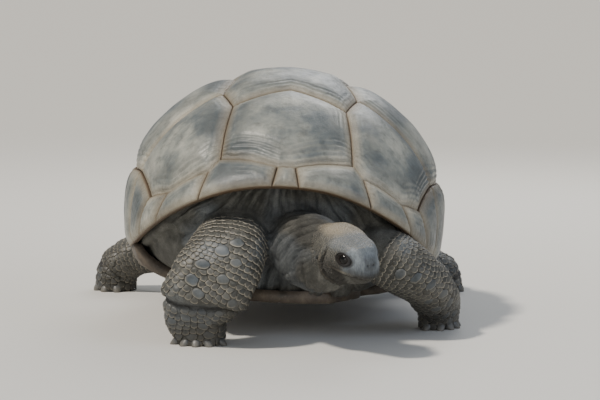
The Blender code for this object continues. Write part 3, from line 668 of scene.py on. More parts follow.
def tube(points, name):
    """Distance from a limb's surface, share of its length, and angle round it, at each point.

    The nearest of the curve's samples gives the section: a squared ellipse, whose radius
    in the point's direction is taken from the point's distance to the curve.
    """
    rows, power, _ = TUBES[name]
    centres = rows[:, :3]
    gap = (centres**2).sum(1)[None] - 2 * points @ centres.T
    k = gap.argmin(1)
    step = np.linalg.norm(np.diff(centres, axis=0), axis=1).mean()
    lag = ((points - centres[k]) * rows[k, 3:6]).sum(1) / step
    t = np.clip(k + np.clip(lag, -0.75, 0.75), 0, SAMPLES - 1)
    row = section(rows, t)
    offset = points - row[:, :3]
    end, a, b = ((offset * row[:, n : n + 3]).sum(1) for n in (3, 6, 9))
    end = np.where((t <= 0) | (t >= SAMPLES - 1), end, 0)
    deep = np.where(b > 0, row[:, 14], row[:, 13])
    parts = [np.abs(part) ** power for part in (a / row[:, 12], b / deep, end / TUBE_END)]
    norm = np.maximum((parts[0] + parts[1] + parts[2]) ** (1 / power), 1e-6)
    size = np.sqrt(a * a + b * b + end * end)
    return size * (1 - 1 / norm) - 1e-9, t / (SAMPLES - 1), np.arctan2(b / deep, a / row[:, 12])


def blunt_snout(points, distance):
    """The head's distance, with its front half that of an egg: powers of x, y and z, summed."""
    h = moved(points, HEAD.inverted())
    x, y = h[:, 0], h[:, 1]
    z = h[:, 2] + 0.0115 + 0.0075 * (np.clip(x, 0, None) / 0.05) ** 3
    tall = np.where(z > 0, 0.0495, 0.0470)
    girth = (np.abs(y / 0.043) ** 2.2 + np.abs(z / tall) ** 2.2) ** (1 / 2.2)
    norm = (girth**2.3 + np.abs(x / 0.0515) ** 2.3) ** (1 / 2.3)
    egg = np.sqrt(x * x + y * y + z * z) * (1 - 1 / np.maximum(norm, 1e-6))
    front = smooth((x - 0.008) / 0.016)
    return distance * (1 - front) + egg * front


def soft_min(a, b, reach):
    """The lesser of two distances, less a rounding where they differ by less than reach.

    That is a quarter of reach times the square of what their difference leaves of it.
    """
    h = np.clip(reach - np.abs(a - b), 0, None) / reach
    return np.minimum(a, b) - h * h * reach / 4


def soft_max(a, b, reach):
    """The greater of two distances, rounded in the same way."""
    return -soft_min(-a, -b, reach)


TRUNK_GAP = 0.0062  # from the plates to the trunk inside them
TRUNK_HALF_WIDTH, TRUNK_FRONT, TRUNK_REAR = 0.365, 0.405, 0.430
TRUNK_SLOPE = 0.20  # how far its front leans out for each metre up
UNSHELL = SHELL_PLACE.inverted()


def trunk_distance(points):
    """Distance from the trunk: the greatest of those from the dome, belly and openings."""
    p = moved(points, UNSHELL)
    x, y, z = p[:, 0], p[:, 1], p[:, 2]
    gap = PLATE + TRUNK_GAP
    out = np.hypot(x / (HALF_WIDTH - gap), y / (HALF_LENGTH - gap))
    rise = z - WIDEST
    above = np.clip(np.abs(rise) / (TOP - gap - WIDEST), 0, 1) ** (1 / TOP_POWER)
    level = np.where(rise > 0, above, rise / TUCK)
    in_dome = (out - np.sqrt(np.clip(1 - level**2, 0, 1)) ** SIDE_POWER) * HALF_WIDTH
    wall, _ = side_wall(y)
    lift = BELLY_PLATE + TRUNK_GAP
    belly = belly_height(np.abs(x) * (wall / (wall - lift - 4 * TRUNK_GAP)), y, lift) - z
    length = np.where(y < 0, TRUNK_FRONT + TRUNK_SLOPE * (z - 0.20), TRUNK_REAR)
    plan = ((np.abs(x) / TRUNK_HALF_WIDTH) ** 3 + (np.abs(y) / length) ** 3) ** (1 / 3)
    openings = (plan - 1) * TRUNK_HALF_WIDTH
    roof = z - (TOP - gap)
    return np.maximum(np.maximum(in_dome, roof), np.maximum(belly, openings))


def ripple(distance, pitch):
    """Folds of a loose hide, with narrow creases: 0.6 less twice a cosine's sixth power."""
    return 1 - 2 * np.abs(np.cos(pi * distance / pitch)) ** 6 - 0.4


EYE, EYE_RADIUS = np.array([0.0, 0.0335, 0.0]), 0.0145  # the left one, in the head's frame
GAZE = unit(np.array([0.42, 1.0, 0.12]))  # of the left eye, in the head's frame
LID_ACROSS = unit(np.cross(GAZE, (0.12, 0, 1.0)))
LID_UP = np.cross(LID_ACROSS, GAZE)
APERTURE = np.array([0.0145, 0.0092])  # half the width and height of the lids' opening


def lid_ring(h):
    """Points from the eye's middle, how far before it they lie, and an ellipse's distance from it.

    That distance is 1 at the lids' edge.
    """
    q = np.stack([h[:, 0], np.abs(h[:, 1]), h[:, 2]], 1) - EYE
    return q, q @ GAZE, np.hypot(q @ LID_ACROSS / APERTURE[0], q @ LID_UP / APERTURE[1])


def mouth_line(x):
    """Height of the slot of the mouth along the head: a long wave, dropping at the beak's tip."""
    wave = 0.0030 * np.sin((x - 0.046) * 52)
    return -0.0300 + 0.05 * (x - 0.047) + wave - 0.0060 * smooth((x - 0.036) / 0.012)


def bell(value, middle, width, power=2):
    """1 at the middle, and off it e to minus a power of the distance over the width."""
    return np.exp(-(np.abs((value - middle) / width) ** power))


def jaw_fold(z):
    """Where along the head, at each height, the fold of hide runs that bounds the jaw behind."""
    return -0.052 + 0.25 * (z + 0.02) + 9.0 * np.clip(-z - 0.02, 0, None) ** 2


def head_relief(points, distance):
    """The head's distance, changed by bells and folds: taking from it raises the hide.

    The two sides are alike, so y counts from the middle.
    """
    h = moved(points, HEAD.inverted())
    x, y, z = h[:, 0], np.abs(h[:, 1]), h[:, 2]
    q, ahead, ring = lid_ring(h)
    b = q @ LID_UP
    facing = smooth(ahead / 0.006)
    # The globe's swelling, the lids over it, and the creases that circle them.
    d = soft_min(distance, np.linalg.norm(q, axis=1) - EYE_RADIUS - 0.0024, 0.008)
    near_eye = facing * bell(ring, 1.0, 1.1, 4)
    d = d - 0.0012 * facing * bell(ring, 1.13, 0.09)
    d = d + 0.0016 * facing * bell(ring, 1.36, 0.09) * (0.7 + 0.3 * np.tanh(b / 0.006))
    d = d - 0.0009 * facing * bell(ring, 1.58, 0.13)
    d = d + 0.0013 * facing * bell(ring, 1.86, 0.12)
    # The brow over the eye, the hollow before it, and the slightly dished crown.
    d = d - 0.0038 * bell(x, -0.002, 0.022) * bell(y, 0.032, 0.012) * bell(z, 0.026, 0.010)
    d = d + 0.0038 * bell(x, 0.025, 0.010) * bell(z, 0.002, 0.018) * smooth((y - 0.012) / 0.015)
    d = d + 0.0026 * bell(x, 0.034, 0.012) * bell(z, -0.008, 0.018) * bell(y, 0.023, 0.008)
    d = d + 0.0022 * bell(x, -0.002, 0.030) * bell(y, 0, 0.015) * smooth((z - 0.02) / 0.02)
    # Cheek and jaw muscle, and the fold that bounds them behind.
    d = d - 0.0032 * bell(x, -0.050, 0.022) * bell(z, -0.022, 0.022)
    fold = jaw_fold(z)
    beside = smooth((0.022 - z) / 0.02) * smooth((y - 0.02) / 0.02)
    d = d + beside * (0.0050 * bell(x, fold, 0.0032) - 0.0034 * bell(x, fold - 0.008, 0.0048))
    d = d + beside * 0.0028 * bell(x, fold - 0.018, 0.0030)
    drum = np.hypot(x + 0.070, (z + 0.020) * 1.1)
    d = d + 0.0018 * bell(drum, 0, 0.0048, 4) - 0.0012 * bell(drum, 0.0068, 0.0018)
    # The horny beak: a lip edge that overhangs the lower jaw, and the slot of the mouth.
    beak = smooth((x + 0.042) / 0.012)
    over = z - mouth_line(x)
    d = d + beak * 0.0032 * bell(over, 0, 0.0016)
    d = d - beak * 0.0016 * bell(over, 0.0045, 0.0032)
    d = d + beak * 0.0024 * smooth(-over / 0.0020) * smooth((over + 0.026) / 0.012)
    d = d - 0.0018 * smooth((x - 0.032) / 0.012) * bell(z, -0.029, 0.009) * bell(y, 0, 0.011)
    # Faint upright flutes down the beak and the front of the snout.
    d = d + 0.0004 * smooth((x - 0.012) / 0.01) * smooth((0.012 - z) / 0.01) * ripple(y + 0.6 * x, 0.0042)
    # The snout above it: a blunt ridge between the nostrils, which are small upright slits.
    slit = np.hypot((y - 0.0078) / 0.0017, (z + 0.0015) / 0.0030)
    d = d + smooth((x - 0.036) / 0.006) * (0.0034 * np.exp(-(slit**2)) - 0.0006 * bell(slit, 1.9, 0.6))
    d = d + 0.0010 * smooth((x - 0.030) / 0.008) * bell(z, -0.012, 0.004) * bell(y, 0.010, 0.008)
    # Small wrinkles, which spare the beak and the crown.
    loose = smooth((0.008 - x) / 0.02) * smooth((0.012 - z) / 0.02)
    d = d - 0.0004 * loose * ripple(x + 0.5 * z + 0.004 * mottle(points, 0.02, 5), 0.0048) * (1 - near_eye)
    throat = smooth((-0.040 - z) / 0.012) * smooth((0.02 - x) / 0.02)
    d = d - 0.0012 * throat * ripple(h[:, 1] + 0.3 * x + 0.004 * mottle(points, 0.03, 8), 0.0095)
    d = d - 0.0005 * near_eye * mottle(points, 0.0035, 6) - 0.0006 * mottle(points, 0.014, 7)
    # The lids' opening is cut away down to the globe.
    cut = np.maximum((ring - 1) * APERTURE[1], EYE_RADIUS - 0.0026 - np.linalg.norm(q, axis=1))
    cut = np.where(ahead > 0, cut, 1.0)
    return soft_max(d, -cut, 0.0008)


def neck_relief(points, t, angle):
    """Folds of the neck: rings round it that lean and wander, and long creases below."""
    wander = 0.016 * mottle(points, 0.060, 11)
    p = points - np.array(SHIFT)
    lean = p[:, 1] + 0.35 * p[:, 0] + 0.45 * p[:, 2] + wander
    rings = 0.0044 * ripple(lean, 0.030) + 0.0016 * ripple(lean * 1.1 + 0.4 * p[:, 2], 0.0085)
    below = smooth((0.2 - np.sin(angle)) / 0.6)
    hanging = 0.0024 * ripple(p[:, 0] + 0.3 * p[:, 1] + wander, 0.020)
    return -(rings * (1 - 0.6 * below) + hanging * below) * smooth((1.02 - t) / 0.15)


WRISTS = {
    # name: share of the leg's length where the hide folds, the angle where the fold is level,
    # its slant round the leg, and the height of the lip of hide that hangs over it
    "foreleg_right": (0.605, -1.60, 0.060, 0.0085),
    "foreleg_left": (0.560, -2.10, 0.050, 0.0060),
    "hindleg_right": (0.700, -2.20, 0.030, 0.0035),
    "hindleg_left": (0.700, -0.90, 0.030, 0.0035),
}


def past_wrist(points, name, t, angle):
    """How far down the leg from the fold at the wrist, as a share of the leg's length."""
    share, turn, slant, _ = WRISTS[name]
    return t + 0.010 * mottle(points, 0.05, 13) - share + slant * np.sin(angle - turn)


def leg_relief(points, name, t, angle):
    """Folds across a leg: bells for a lip of hide, a deep crease and shallower ones round it."""
    lip = WRISTS[name][3]
    behind = past_wrist(points, name, t, angle)
    d = lip * (bell(behind, 0.004, 0.014) - 0.8 * bell(behind, -0.042, 0.036))
    d = d + 0.0030 * bell(behind, 0.060, 0.011) + 0.0022 * bell(behind, -0.115, 0.012)
    wander = 0.010 * mottle(points, 0.05, 13)
    fine = ripple(t * 0.42 + wander + 0.02 * np.sin(angle), 0.0075)
    return d - 0.0006 * (fine * (0.35 + 0.65 * smooth((0.5 - t) / 0.3)))


def trunk_relief(points):
    """Folds that hang from under the front of the shell, spreading as they fall."""
    p = moved(points, UNSHELL)
    front = smooth((-p[:, 1] - 0.28) / 0.08)
    wander = 0.03 * mottle(p, 0.07, 17)
    sideways, below = p[:, 0] - 0.01, 0.46 - p[:, 2]  # from where the folds hang
    spread, down = np.arctan2(sideways, below) + wander * 3, np.hypot(sideways, below)
    folds = 0.0062 * ripple(spread * 0.26, 0.036) + 0.0024 * ripple(spread * 0.26 + down * 0.15, 0.011)
    hips = smooth((p[:, 1] - 0.30) / 0.06)
    back = 0.0030 * ripple(np.hypot(p[:, 0], p[:, 2] - 0.2) + wander, 0.030)
    hem = 0.004 * smooth((0.17 - p[:, 2]) / 0.03)
    return -front * folds - hips * back - hem


REACH_OUT = 0.05  # how near a point must be to a limb's box for that limb to count


def hide(points, relief=True):
    """Distance from the hide: those of trunk and limbs, each with its relief, blended."""
    inside = COAT_DEPTH if relief else 0.0
    total = trunk_distance(points) + (trunk_relief(points) if relief else 0)
    for name, (rows, _, blend) in TUBES.items():
        spread = rows[:, 12:15].max() + REACH_OUT
        low, high = rows[:, :3].min(0) - spread, rows[:, :3].max(0) + spread
        near = ((points > low) & (points < high)).all(1)
        if not near.any():
            continue
        p = points[near]
        d, t, angle = tube(p, name)
        if name == "head":
            d = blunt_snout(p, d)
        d = d + inside
        if relief and name == "head":
            d = head_relief(p, d)
        elif relief and name == "neck":
            d = d + neck_relief(p, t, angle)
        elif relief and name.endswith(("left", "right")):
            d = d + leg_relief(p, name, t, angle)
        total[near] = soft_min(total[near], d, blend)
    return soft_max(total, -points[:, 2], 0.003)


def slope_of(points, step=0.0012):
    """How the smooth hide's distance grows along x, y and z, from four short steps."""
    corners = np.array([(1, 1, 1), (1, -1, -1), (-1, 1, -1), (-1, -1, 1)], float)
    return sum(c * hide(points + step * c, False)[:, None] for c in corners) / (4 * step) + 1e-9


def net_of(values, origin, step):
    """Surface nets: points, and quads, of the nil level of values on a grid.

    There is a point in every cell that the level crosses, at the mean of the crossings on its
    edges, and a quad round every edge of the grid that the level crosses.
    """
    inside = values < 0
    shape = np.array(values.shape) - 1
    corner_ids = np.array([(c & 1, c >> 1 & 1, c >> 2 & 1) for c in range(8)])

    def at(corner, array):
        """The array's values at one corner of every cell."""
        i, j, k = corner
        return array[i : shape[0] + i, j : shape[1] + j, k : shape[2] + k]

    count = sum(at(c, inside).astype(np.int8) for c in corner_ids)
    active = (count > 0) & (count < 8)
    cells = np.argwhere(active)
    index = np.full(shape, -1)
    index[active] = np.arange(len(cells))
    total, hits = np.zeros((len(cells), 3)), np.zeros(len(cells))
    corner_values = [at(c, values)[active] for c in corner_ids]
    for a in range(8):
        for b in range(a + 1, 8):
            if np.abs(corner_ids[a] - corner_ids[b]).sum() != 1:
                continue
            va, vb = corner_values[a], corner_values[b]
            crossed = (va < 0) != (vb < 0)
            w = np.where(crossed, va / np.where(crossed, va - vb, 1), 0)[:, None]
            total += crossed[:, None] * (corner_ids[a] + w * (corner_ids[b] - corner_ids[a]))
            hits += crossed
    points = origin + step * (cells + total / hits[:, None])
    quads = []
    for axis in range(3):
        one, two = [k for k in range(3) if k != axis]
        ahead = np.roll(inside, -1, axis)
        flips = inside != ahead
        spot = np.argwhere(flips)
        spot = spot[(spot[:, axis] < shape[axis]) & (spot[:, one] > 0) & (spot[:, two] > 0)]
        spot = spot[(spot[:, one] < shape[one]) & (spot[:, two] < shape[two])]
        ring = []
        for back in ((0, 0), (1, 0), (1, 1), (0, 1)):
            cell = spot.copy()
            cell[:, one] -= back[0]
            cell[:, two] -= back[1]
            ring.append(index[tuple(cell.T)])
        quad = np.stack(ring, -1)
        starts_inside = inside[tuple(spot.T)]
        flip = starts_inside if axis != 1 else ~starts_inside
        quads.append(np.where(flip[:, None], quad, quad[:, ::-1]))
    return points, np.vstack(quads)


CELL = 0.0135  # of the first coarse net
solid_box = np.array(cad_box)
origin = solid_box[0] - 2 * CELL
grid_size = np.ceil((solid_box[1] - solid_box[0]) / CELL).astype(int) + 5
axes = [origin[k] + CELL * np.arange(grid_size[k]) for k in range(3)]
spots = np.stack(np.meshgrid(*axes, indexing="ij"), -1).reshape(-1, 3)
parts = np.array_split(spots, 8)  # which keep the arrays small
field = np.concatenate([hide(part, False) for part in parts]).reshape(grid_size)
points, quads = net_of(field, origin, CELL)


def on_hide(points, rounds=2, most=0.004):
    """Points drawn on to the smooth hide: each goes back along the slope by distance over slope."""
    for _ in range(rounds):
        slope = slope_of(points)
        step = hide(points, False)[:, None] * slope / (slope**2).sum(1)[:, None]
        length = np.linalg.norm(step, axis=1, keepdims=True)
        points = points - step * np.minimum(1, most / np.maximum(length, 1e-9))
    return points


LEAST_RELIEF, MOST_RELIEF = -0.008, 0.010


def pressed(points):
    """Points of the smooth hide, moved along its slope by its relief."""
    normal = unit(slope_of(points, 0.003))
    relief = np.clip(hide(points) - hide(points, False), LEAST_RELIEF, MOST_RELIEF)
    return points - relief[:, None] * normal


def finer(bm, chosen):
    """Halve the edges of the faces whose centres are chosen."""
    centres = np.array([f.calc_center_median() for f in bm.faces])
    picked = chosen(centres)
    edges = {e for f, hit in zip(bm.faces, picked) if hit for e in f.edges}
    bmesh.ops.subdivide_edges(bm, edges=list(edges), cuts=1, use_grid_fill=True)


def near_limbs(centres, names, reach):
    """Whether places lie near the surface of any of the limbs."""
    return np.min([np.abs(tube(centres, name)[0]) for name in names], 0) < reach


def spots_of(mesh):
    """The places of a mesh's points."""
    spots = np.zeros(3 * len(mesh.vertices), np.float32)
    mesh.vertices.foreach_get("co", spots)
    return spots.reshape(-1, 3).astype(float)


def put(mesh, places):
    """Move a mesh's points to places."""
    mesh.vertices.foreach_set("co", np.asarray(places, np.float32).ravel())


def in_view(centres):
    """Hide that shows: the limbs, and the trunk where it closes the openings of the shell."""
    p = moved(centres, UNSHELL)
    ends = (np.abs(p[:, 1]) > 0.34) & (p[:, 2] < 0.38)
    return ends | near_limbs(centres, list(TUBES), 0.003)


def in_front(centres):
    """The neck, the head, and the wall of hide round them."""
    p = moved(centres, UNSHELL)
    wall = (p[:, 1] < -0.37) & (p[:, 2] < 0.38) & (np.abs(trunk_distance(centres)) < 0.008)
    return wall | near_limbs(centres, ["neck", "head"], 0.005)


def of_face(centres):
    """The head as far back as its jaw muscles."""
    return near_limbs(centres, ["head"], 0.009) & (moved(centres, HEAD.inverted())[:, 0] > -0.060)


def of_lids(centres):
    """Round the eyes, the nostrils and the beak's edge."""
    h = moved(centres, HEAD.inverted())
    h[:, 1] = np.abs(h[:, 1])
    return (np.linalg.norm(h - EYE, axis=1) < 0.026) | ((h[:, 0] > 0.030) & (h[:, 2] > -0.040))


mesh = bpy.data.meshes.new("hide")
mesh.from_pydata(points, [], quads.tolist())
put(mesh, on_hide(spots_of(mesh)))
for chosen in (in_view, in_front, of_face, of_lids):
    bm = bmesh.new()
    bm.from_mesh(mesh)
    finer(bm, chosen)
    bm.to_mesh(mesh)
    bm.free()
    put(mesh, on_hide(spots_of(mesh), rounds=1))
bm = bmesh.new()
bm.from_mesh(mesh)
bmesh.ops.triangulate(bm, faces=[f for f in bm.faces if len(f.verts) > 4])
bmesh.ops.recalc_face_normals(bm, faces=bm.faces)
bm.to_mesh(mesh)
bm.free()
smooth_spots = on_hide(spots_of(mesh), rounds=1)
put(mesh, pressed(smooth_spots))
mesh.shade_smooth()
tortoise_hide = bpy.data.objects.new("tortoise_hide", mesh)
bpy.context.scene.collection.objects.link(tortoise_hide)
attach(tortoise_hide, "root")
limb_ends = [f"{end}{part}_{hand}" for end in ("fore", "hind") for part in ("leg", "foot")
             for hand in ("left", "right")]
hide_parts("trunk", "neck", "head", "lower_jaw", "tail", *limb_ends)


def dusting(points):
    """How pale the hide is, 0 to 1, from dust and painted light: a painted sunlit patch, most on the
    nape and less on the crown, painted highlights along the lip and jaw fold, and faint dust patches.
    """
    h = moved(points, HEAD.inverted())
    x, y, z = h[:, 0], np.abs(h[:, 1]), h[:, 2]
    # A painted sunlit patch on the nape, and a weaker one on the crown.
    nape = smooth((z - 0.018) / 0.030) * smooth((-0.020 - x) / 0.030) * smooth((x + 0.16) / 0.05)
    near_head = np.exp(-((np.linalg.norm(h - np.array([-0.07, 0, 0]), axis=1) / 0.11) ** 4))
    crown = 0.15 * smooth((z - 0.028) / 0.02) * smooth((0.03 - x) / 0.02)
    # Painted highlights along the lip's edge and the ridge of the jaw fold.
    lip = 0.65 * bell(z, mouth_line(x) + 0.0070, 0.0036) * smooth((x + 0.045) / 0.012)
    lip = lip * smooth((0.038 - x) / 0.01)
    fold = 0.60 * bell(x, jaw_fold(z) - 0.008, 0.0042) * smooth((0.010 - z) / 0.02)
    crown = np.maximum(crown, np.maximum(lip, fold * (y > 0.02)))
    patchy = 0.80 + 0.30 * mottle(points, 0.022, 20) + 0.20 * mottle(points, 0.007, 22)
    # Faint pale dust in patches, all over the hide.
    return np.clip(near_head * np.maximum(nape, crown) * patchy + 0.15 * mottle(points, 0.05, 21), 0, 1)


def slate(points):
    """How slate-blue and smooth the hide is, 0 to 1: the snout, and patches on neck and legs."""
    h = moved(points, HEAD.inverted())
    x, z = h[:, 0], h[:, 2]
    snout = smooth((x + 0.010) / 0.025) * smooth((z + 0.030) / 0.012)
    crown = 0.8 * smooth((x + 0.065) / 0.035) * smooth((z - 0.004) / 0.020)
    snout = np.maximum(snout, crown) * (np.linalg.norm(h, axis=1) < 0.11)
    patches = 0.55 * smooth((mottle(points, 0.075, 23) - 0.15) / 0.4)
    return np.clip(np.maximum(snout, patches), 0, 1)


def shading(points):
    """Painted shade on the hide, 0 to 1: in its openings, on the beak, and in its folds."""
    h = moved(points, HEAD.inverted())
    x, y, z = h[:, 0], np.abs(h[:, 1]), h[:, 2]
    _, ahead, ring = lid_ring(h)
    # Painted shade in the eye sockets, the slot of the mouth, the nostrils and the ear drum.
    lids = 0.93 * smooth((2.10 - ring) / 0.75) * (ahead > 0)
    mouth = bell(z, mouth_line(x), 0.0032) * smooth((x + 0.042) / 0.012)
    slit = np.exp(-(((y - 0.0078) / 0.0019) ** 2) - ((z + 0.0015) / 0.0033) ** 2)
    slit = slit * smooth((x - 0.036) / 0.006)
    near_head = np.linalg.norm(h, axis=1) < 0.10
    drum = 0.6 * bell(np.hypot(x + 0.070, (z + 0.020) * 1.1), 0, 0.0050, 4)
    # Painted shade on the lower half of the beak, down the middle of the snout, under the jaw, and in the
    # fold behind it.
    beak = 0.55 * smooth((-0.004 - z) / 0.016) * smooth((x - 0.004) / 0.02)
    prow = 0.50 * smooth((x - 0.010) / 0.022) * bell(y, 0, 0.016, 4) * smooth((0.020 - z) / 0.012)
    under = 0.66 * smooth((0.002 - z) / 0.026) * smooth((0.012 - x) / 0.02)
    behind = 0.85 * bell(x, jaw_fold(z), 0.0030) * smooth((0.006 - z) / 0.01) * (y > 0.02)
    # Painted shade in the creases at the wrists, and along the neck.
    creases = [0.8 * bell(past_wrist(points, limb, t, angle), 0.009, 0.013) * (off < 0.03)
               for limb in WRISTS for off, t, angle in [tube(points, limb)]]
    off, t, _ = tube(points, "neck")
    creases.append(0.35 * smooth((0.95 - t) / 0.3) * smooth((0.03 - off) / 0.02))
    on_head = np.max([lids, 0.95 * mouth, slit, drum, beak, prow, under, behind], 0)
    return np.maximum(near_head * on_head, np.max(creases, 0))


def markings(obj, points):
    """Store the markings, which hide and scales share: dust and painted light, bloom, and painted shade.
    """
    attribute(obj, "dusting", dusting(points))
    attribute(obj, "slate", slate(points))
    attribute(obj, "shading", shading(points))


# The hide's leather: dry and thick, grey-brown, in fine wrinkles and grains, with paler dust
# and painted highlights on what stands out, a painted sunlit patch on the nape, painted shade in
# hollows, openings and folds, a smooth slate-grey bloom on snout and folds, and darker towards
# the floor, on the feet.
leather, tree, shader = finish("dry_wrinkled_leather")
place = node(tree, "TexCoord", {}, "Object")
height = node(tree, "SeparateXYZ", {"Vector": place}, "Z")
dust, bloom, dark = (
    node(tree, "Attribute", {"attribute_name": name}, "Fac") for name in ("dusting", "slate", "shading")
)
broad = node(tree, "TexNoise", {"Scale": 22.0, "Detail": 6.0, "Roughness": 0.65, "Vector": place})
# Grains of 3 mm, which the hide shows between its scales, and wrinkles about 6 mm apart.
bent = node(tree, "TexNoise", {"Scale": 60.0, "Detail": 2.0, "Vector": place}, "Color")
warp = node(tree, "Mix", {"data_type": "VECTOR", 0: 0.005, 4: place, 5: bent}, 1)
grains, wrinkles = (
    node(tree, "TexVoronoi", {"feature": "DISTANCE_TO_EDGE", "Scale": scale, "Vector": warp})
    for scale in (300.0, 130.0)
)
pores = node(tree, "TexNoise", {"Scale": 900.0, "Detail": 2.0, "Vector": place})
# Faint upright streaks, 3 mm apart, on the smooth places.
upright = node(tree, "Mapping", {"Scale": (1.0, 1.0, 0.14), "Vector": place})
streak = node(tree, "TexNoise", {"Scale": 300.0, "Detail": 4.0, "Roughness": 0.6, "Vector": upright})
much = {
    name: node(tree, "MapRange", dict(enumerate(row)))
    for name, row in {
        "grain": (grains, 0.0, 0.25, 0.0, 1.0),
        "wrinkle": (wrinkles, 0.0, 0.10, 0.45, 1.0),
        "dust": (dust, 0.15, 0.9, 0.0, 0.60),
        "streaks": (streak, 0.46, 0.66, 0.0, 0.75),
        "shade in hollows": (bloom, 0.4, 1.0, 1.0, 0.35),
        "relief": (bloom, 0.4, 1.0, 1.0, 0.22),
        "dullness": (bloom, 0.0, 1.0, 0.70, 0.45),
        # darker towards the floor
        "darker low down": (height, 0.0, 0.16, 0.75, 0.0),
    }.items()
}
streaks = node(tree, "Math", {"operation": "MULTIPLY", 0: bloom, 1: much["streaks"]})
# Painted shade in the hollows between grains and wrinkles, weaker on the slate bloom.
hollow = node(tree, "Math", {"operation": "MULTIPLY", 0: much["grain"], 1: much["wrinkle"]})
deep = node(tree, "MapRange", dict(enumerate((hollow, 0.0, 0.5, 0.50, 0.0))))
deep = node(tree, "Math", {"operation": "MULTIPLY", 0: deep, 1: much["shade in hollows"]})
slate_hue = node(tree, "ValToRGB", {"Fac": broad, "stops": [(0.35, "555d62"), (0.65, "848d92")]})
stops = [(0.30, "3c3c38"), (0.50, "575751"), (0.72, "7a7972")]
hue = node(tree, "ValToRGB", {"Fac": broad, "stops": stops})
# Over the hide's own colour: the slate bloom, dust and painted light, streaks, painted shade in the
# hollows and in openings and folds, and darker towards the floor.
for amount, colour in (
    (bloom, slate_hue),
    (much["dust"], "b5a88c"),
    (streaks, "474c55"),
    (deep, "241f1b"),
    (dark, "17120f"),
    (much["darker low down"], "2b2822"),
):
    hue = node(tree, "Mix", {"data_type": "RGBA", 0: amount, 6: hue, 7: colour}, 2)
dull = {"operation": "MULTIPLY_ADD", "use_clamp": True, 0: dark, 1: 0.4, 2: much["dullness"]}
heights = node(tree, "Math", {"operation": "ADD", 0: much["grain"], 1: much["wrinkle"]})
heights = node(tree, "Math", {"operation": "MULTIPLY_ADD", 0: pores, 1: 0.4, 2: heights})
heights = node(tree, "Math", {"operation": "MULTIPLY", 0: heights, 1: much["relief"]})
bump = node(tree, "Bump", {"Strength": 0.6, "Distance": 0.0009, "Height": heights})
for socket, source in (("Base Color", hue), ("Roughness", node(tree, "Math", dull)), ("Normal", bump)):
    tree.links.new(source, shader.inputs[socket])
tortoise_hide.data.materials.append(leather)
markings(tortoise_hide, smooth_spots)

# ------------------------------------------------------------------------------ the eyes
# Round dark globes, bulging a little at the clear cornea, and set so that the lids close
# round them.

WET = 0.0002  # the film of tears stands this far over the solid globe
CORNEA = 0.0006  # how far the cornea bulges


def wrapped_faces(turns, rings):
    """Quads between rings of points, each ring closed on itself."""
    i, j = np.meshgrid(np.arange(turns), np.arange(rings - 1))
    first, second = (i + j * turns).ravel(), ((i + 1) % turns + j * turns).ravel()
    return np.stack([first, second, second + turns, first + turns], -1)


def closed(obj):
    """Join the doubled points at an object's poles, and turn its faces outwards."""
    bm = bmesh.new()
    bm.from_mesh(obj.data)
    bmesh.ops.remove_doubles(bm, verts=bm.verts, dist=1e-6)
    bmesh.ops.recalc_face_normals(bm, faces=bm.faces)
    bm.to_mesh(obj.data)
    bm.free()


# The wet surface of the eye: black pupil, very dark brown iris and dark rim, under a film of
# tears that gives it one sharp highlight.
eyeball, tree, shader = finish("wet_dark_eye")
centre = node(tree, "Attribute", {"attribute_name": "from_pupil"}, "Fac")
angle = node(tree, "MapRange", dict(enumerate((centre, 0.0, 1.6, 0.0, 1.0))))
stops = [(0.27, "030302"), (0.33, "100b07"), (0.55, "17100a"), (0.60, "0c0907"), (0.8, "1c1815")]
tree.links.new(node(tree, "ValToRGB", {"Fac": angle, "stops": stops}), shader.inputs["Base Color"])
shader.inputs["Roughness"].default_value = 0.10
shader.inputs["Specular IOR Level"].default_value = 0.35
for name, hand in (("left", 1), ("right", -1)):
    flip = np.array([1, hand, 1])
    turns, rings = 48, 36
    a, b = np.meshgrid(np.linspace(0, 2 * pi, turns, endpoint=False), np.linspace(0, pi, rings))
    a, b = a.ravel(), b.ravel()
    gaze, across, up = (v * flip for v in (GAZE, LID_ACROSS, LID_UP))
    radius = EYE_RADIUS + WET + CORNEA * np.exp(-((b / 0.55) ** 4))
    round_gaze = np.cos(a)[:, None] * across + np.sin(a)[:, None] * up
    ball = np.cos(b)[:, None] * gaze + np.sin(b)[:, None] * round_gaze
    points = moved(EYE * flip + radius[:, None] * ball, HEAD)
    globe = shown(f"globe_{name}", points, [wrapped_faces(turns, rings)], eyeball)
    attribute(globe, "from_pupil", b)
    closed(globe)
    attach(globe, "root")
    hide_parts(f"eye_{name}")

# ---------------------------------------------------------------------------- the scales
# Horny scales grown side by side from the hide's outer layer: low domes with a steep edge,
# whose free lower edge stands up a little, largest on the fronts of the forelegs and smallest
# on the head. Each one's outline is the room between its neighbours.

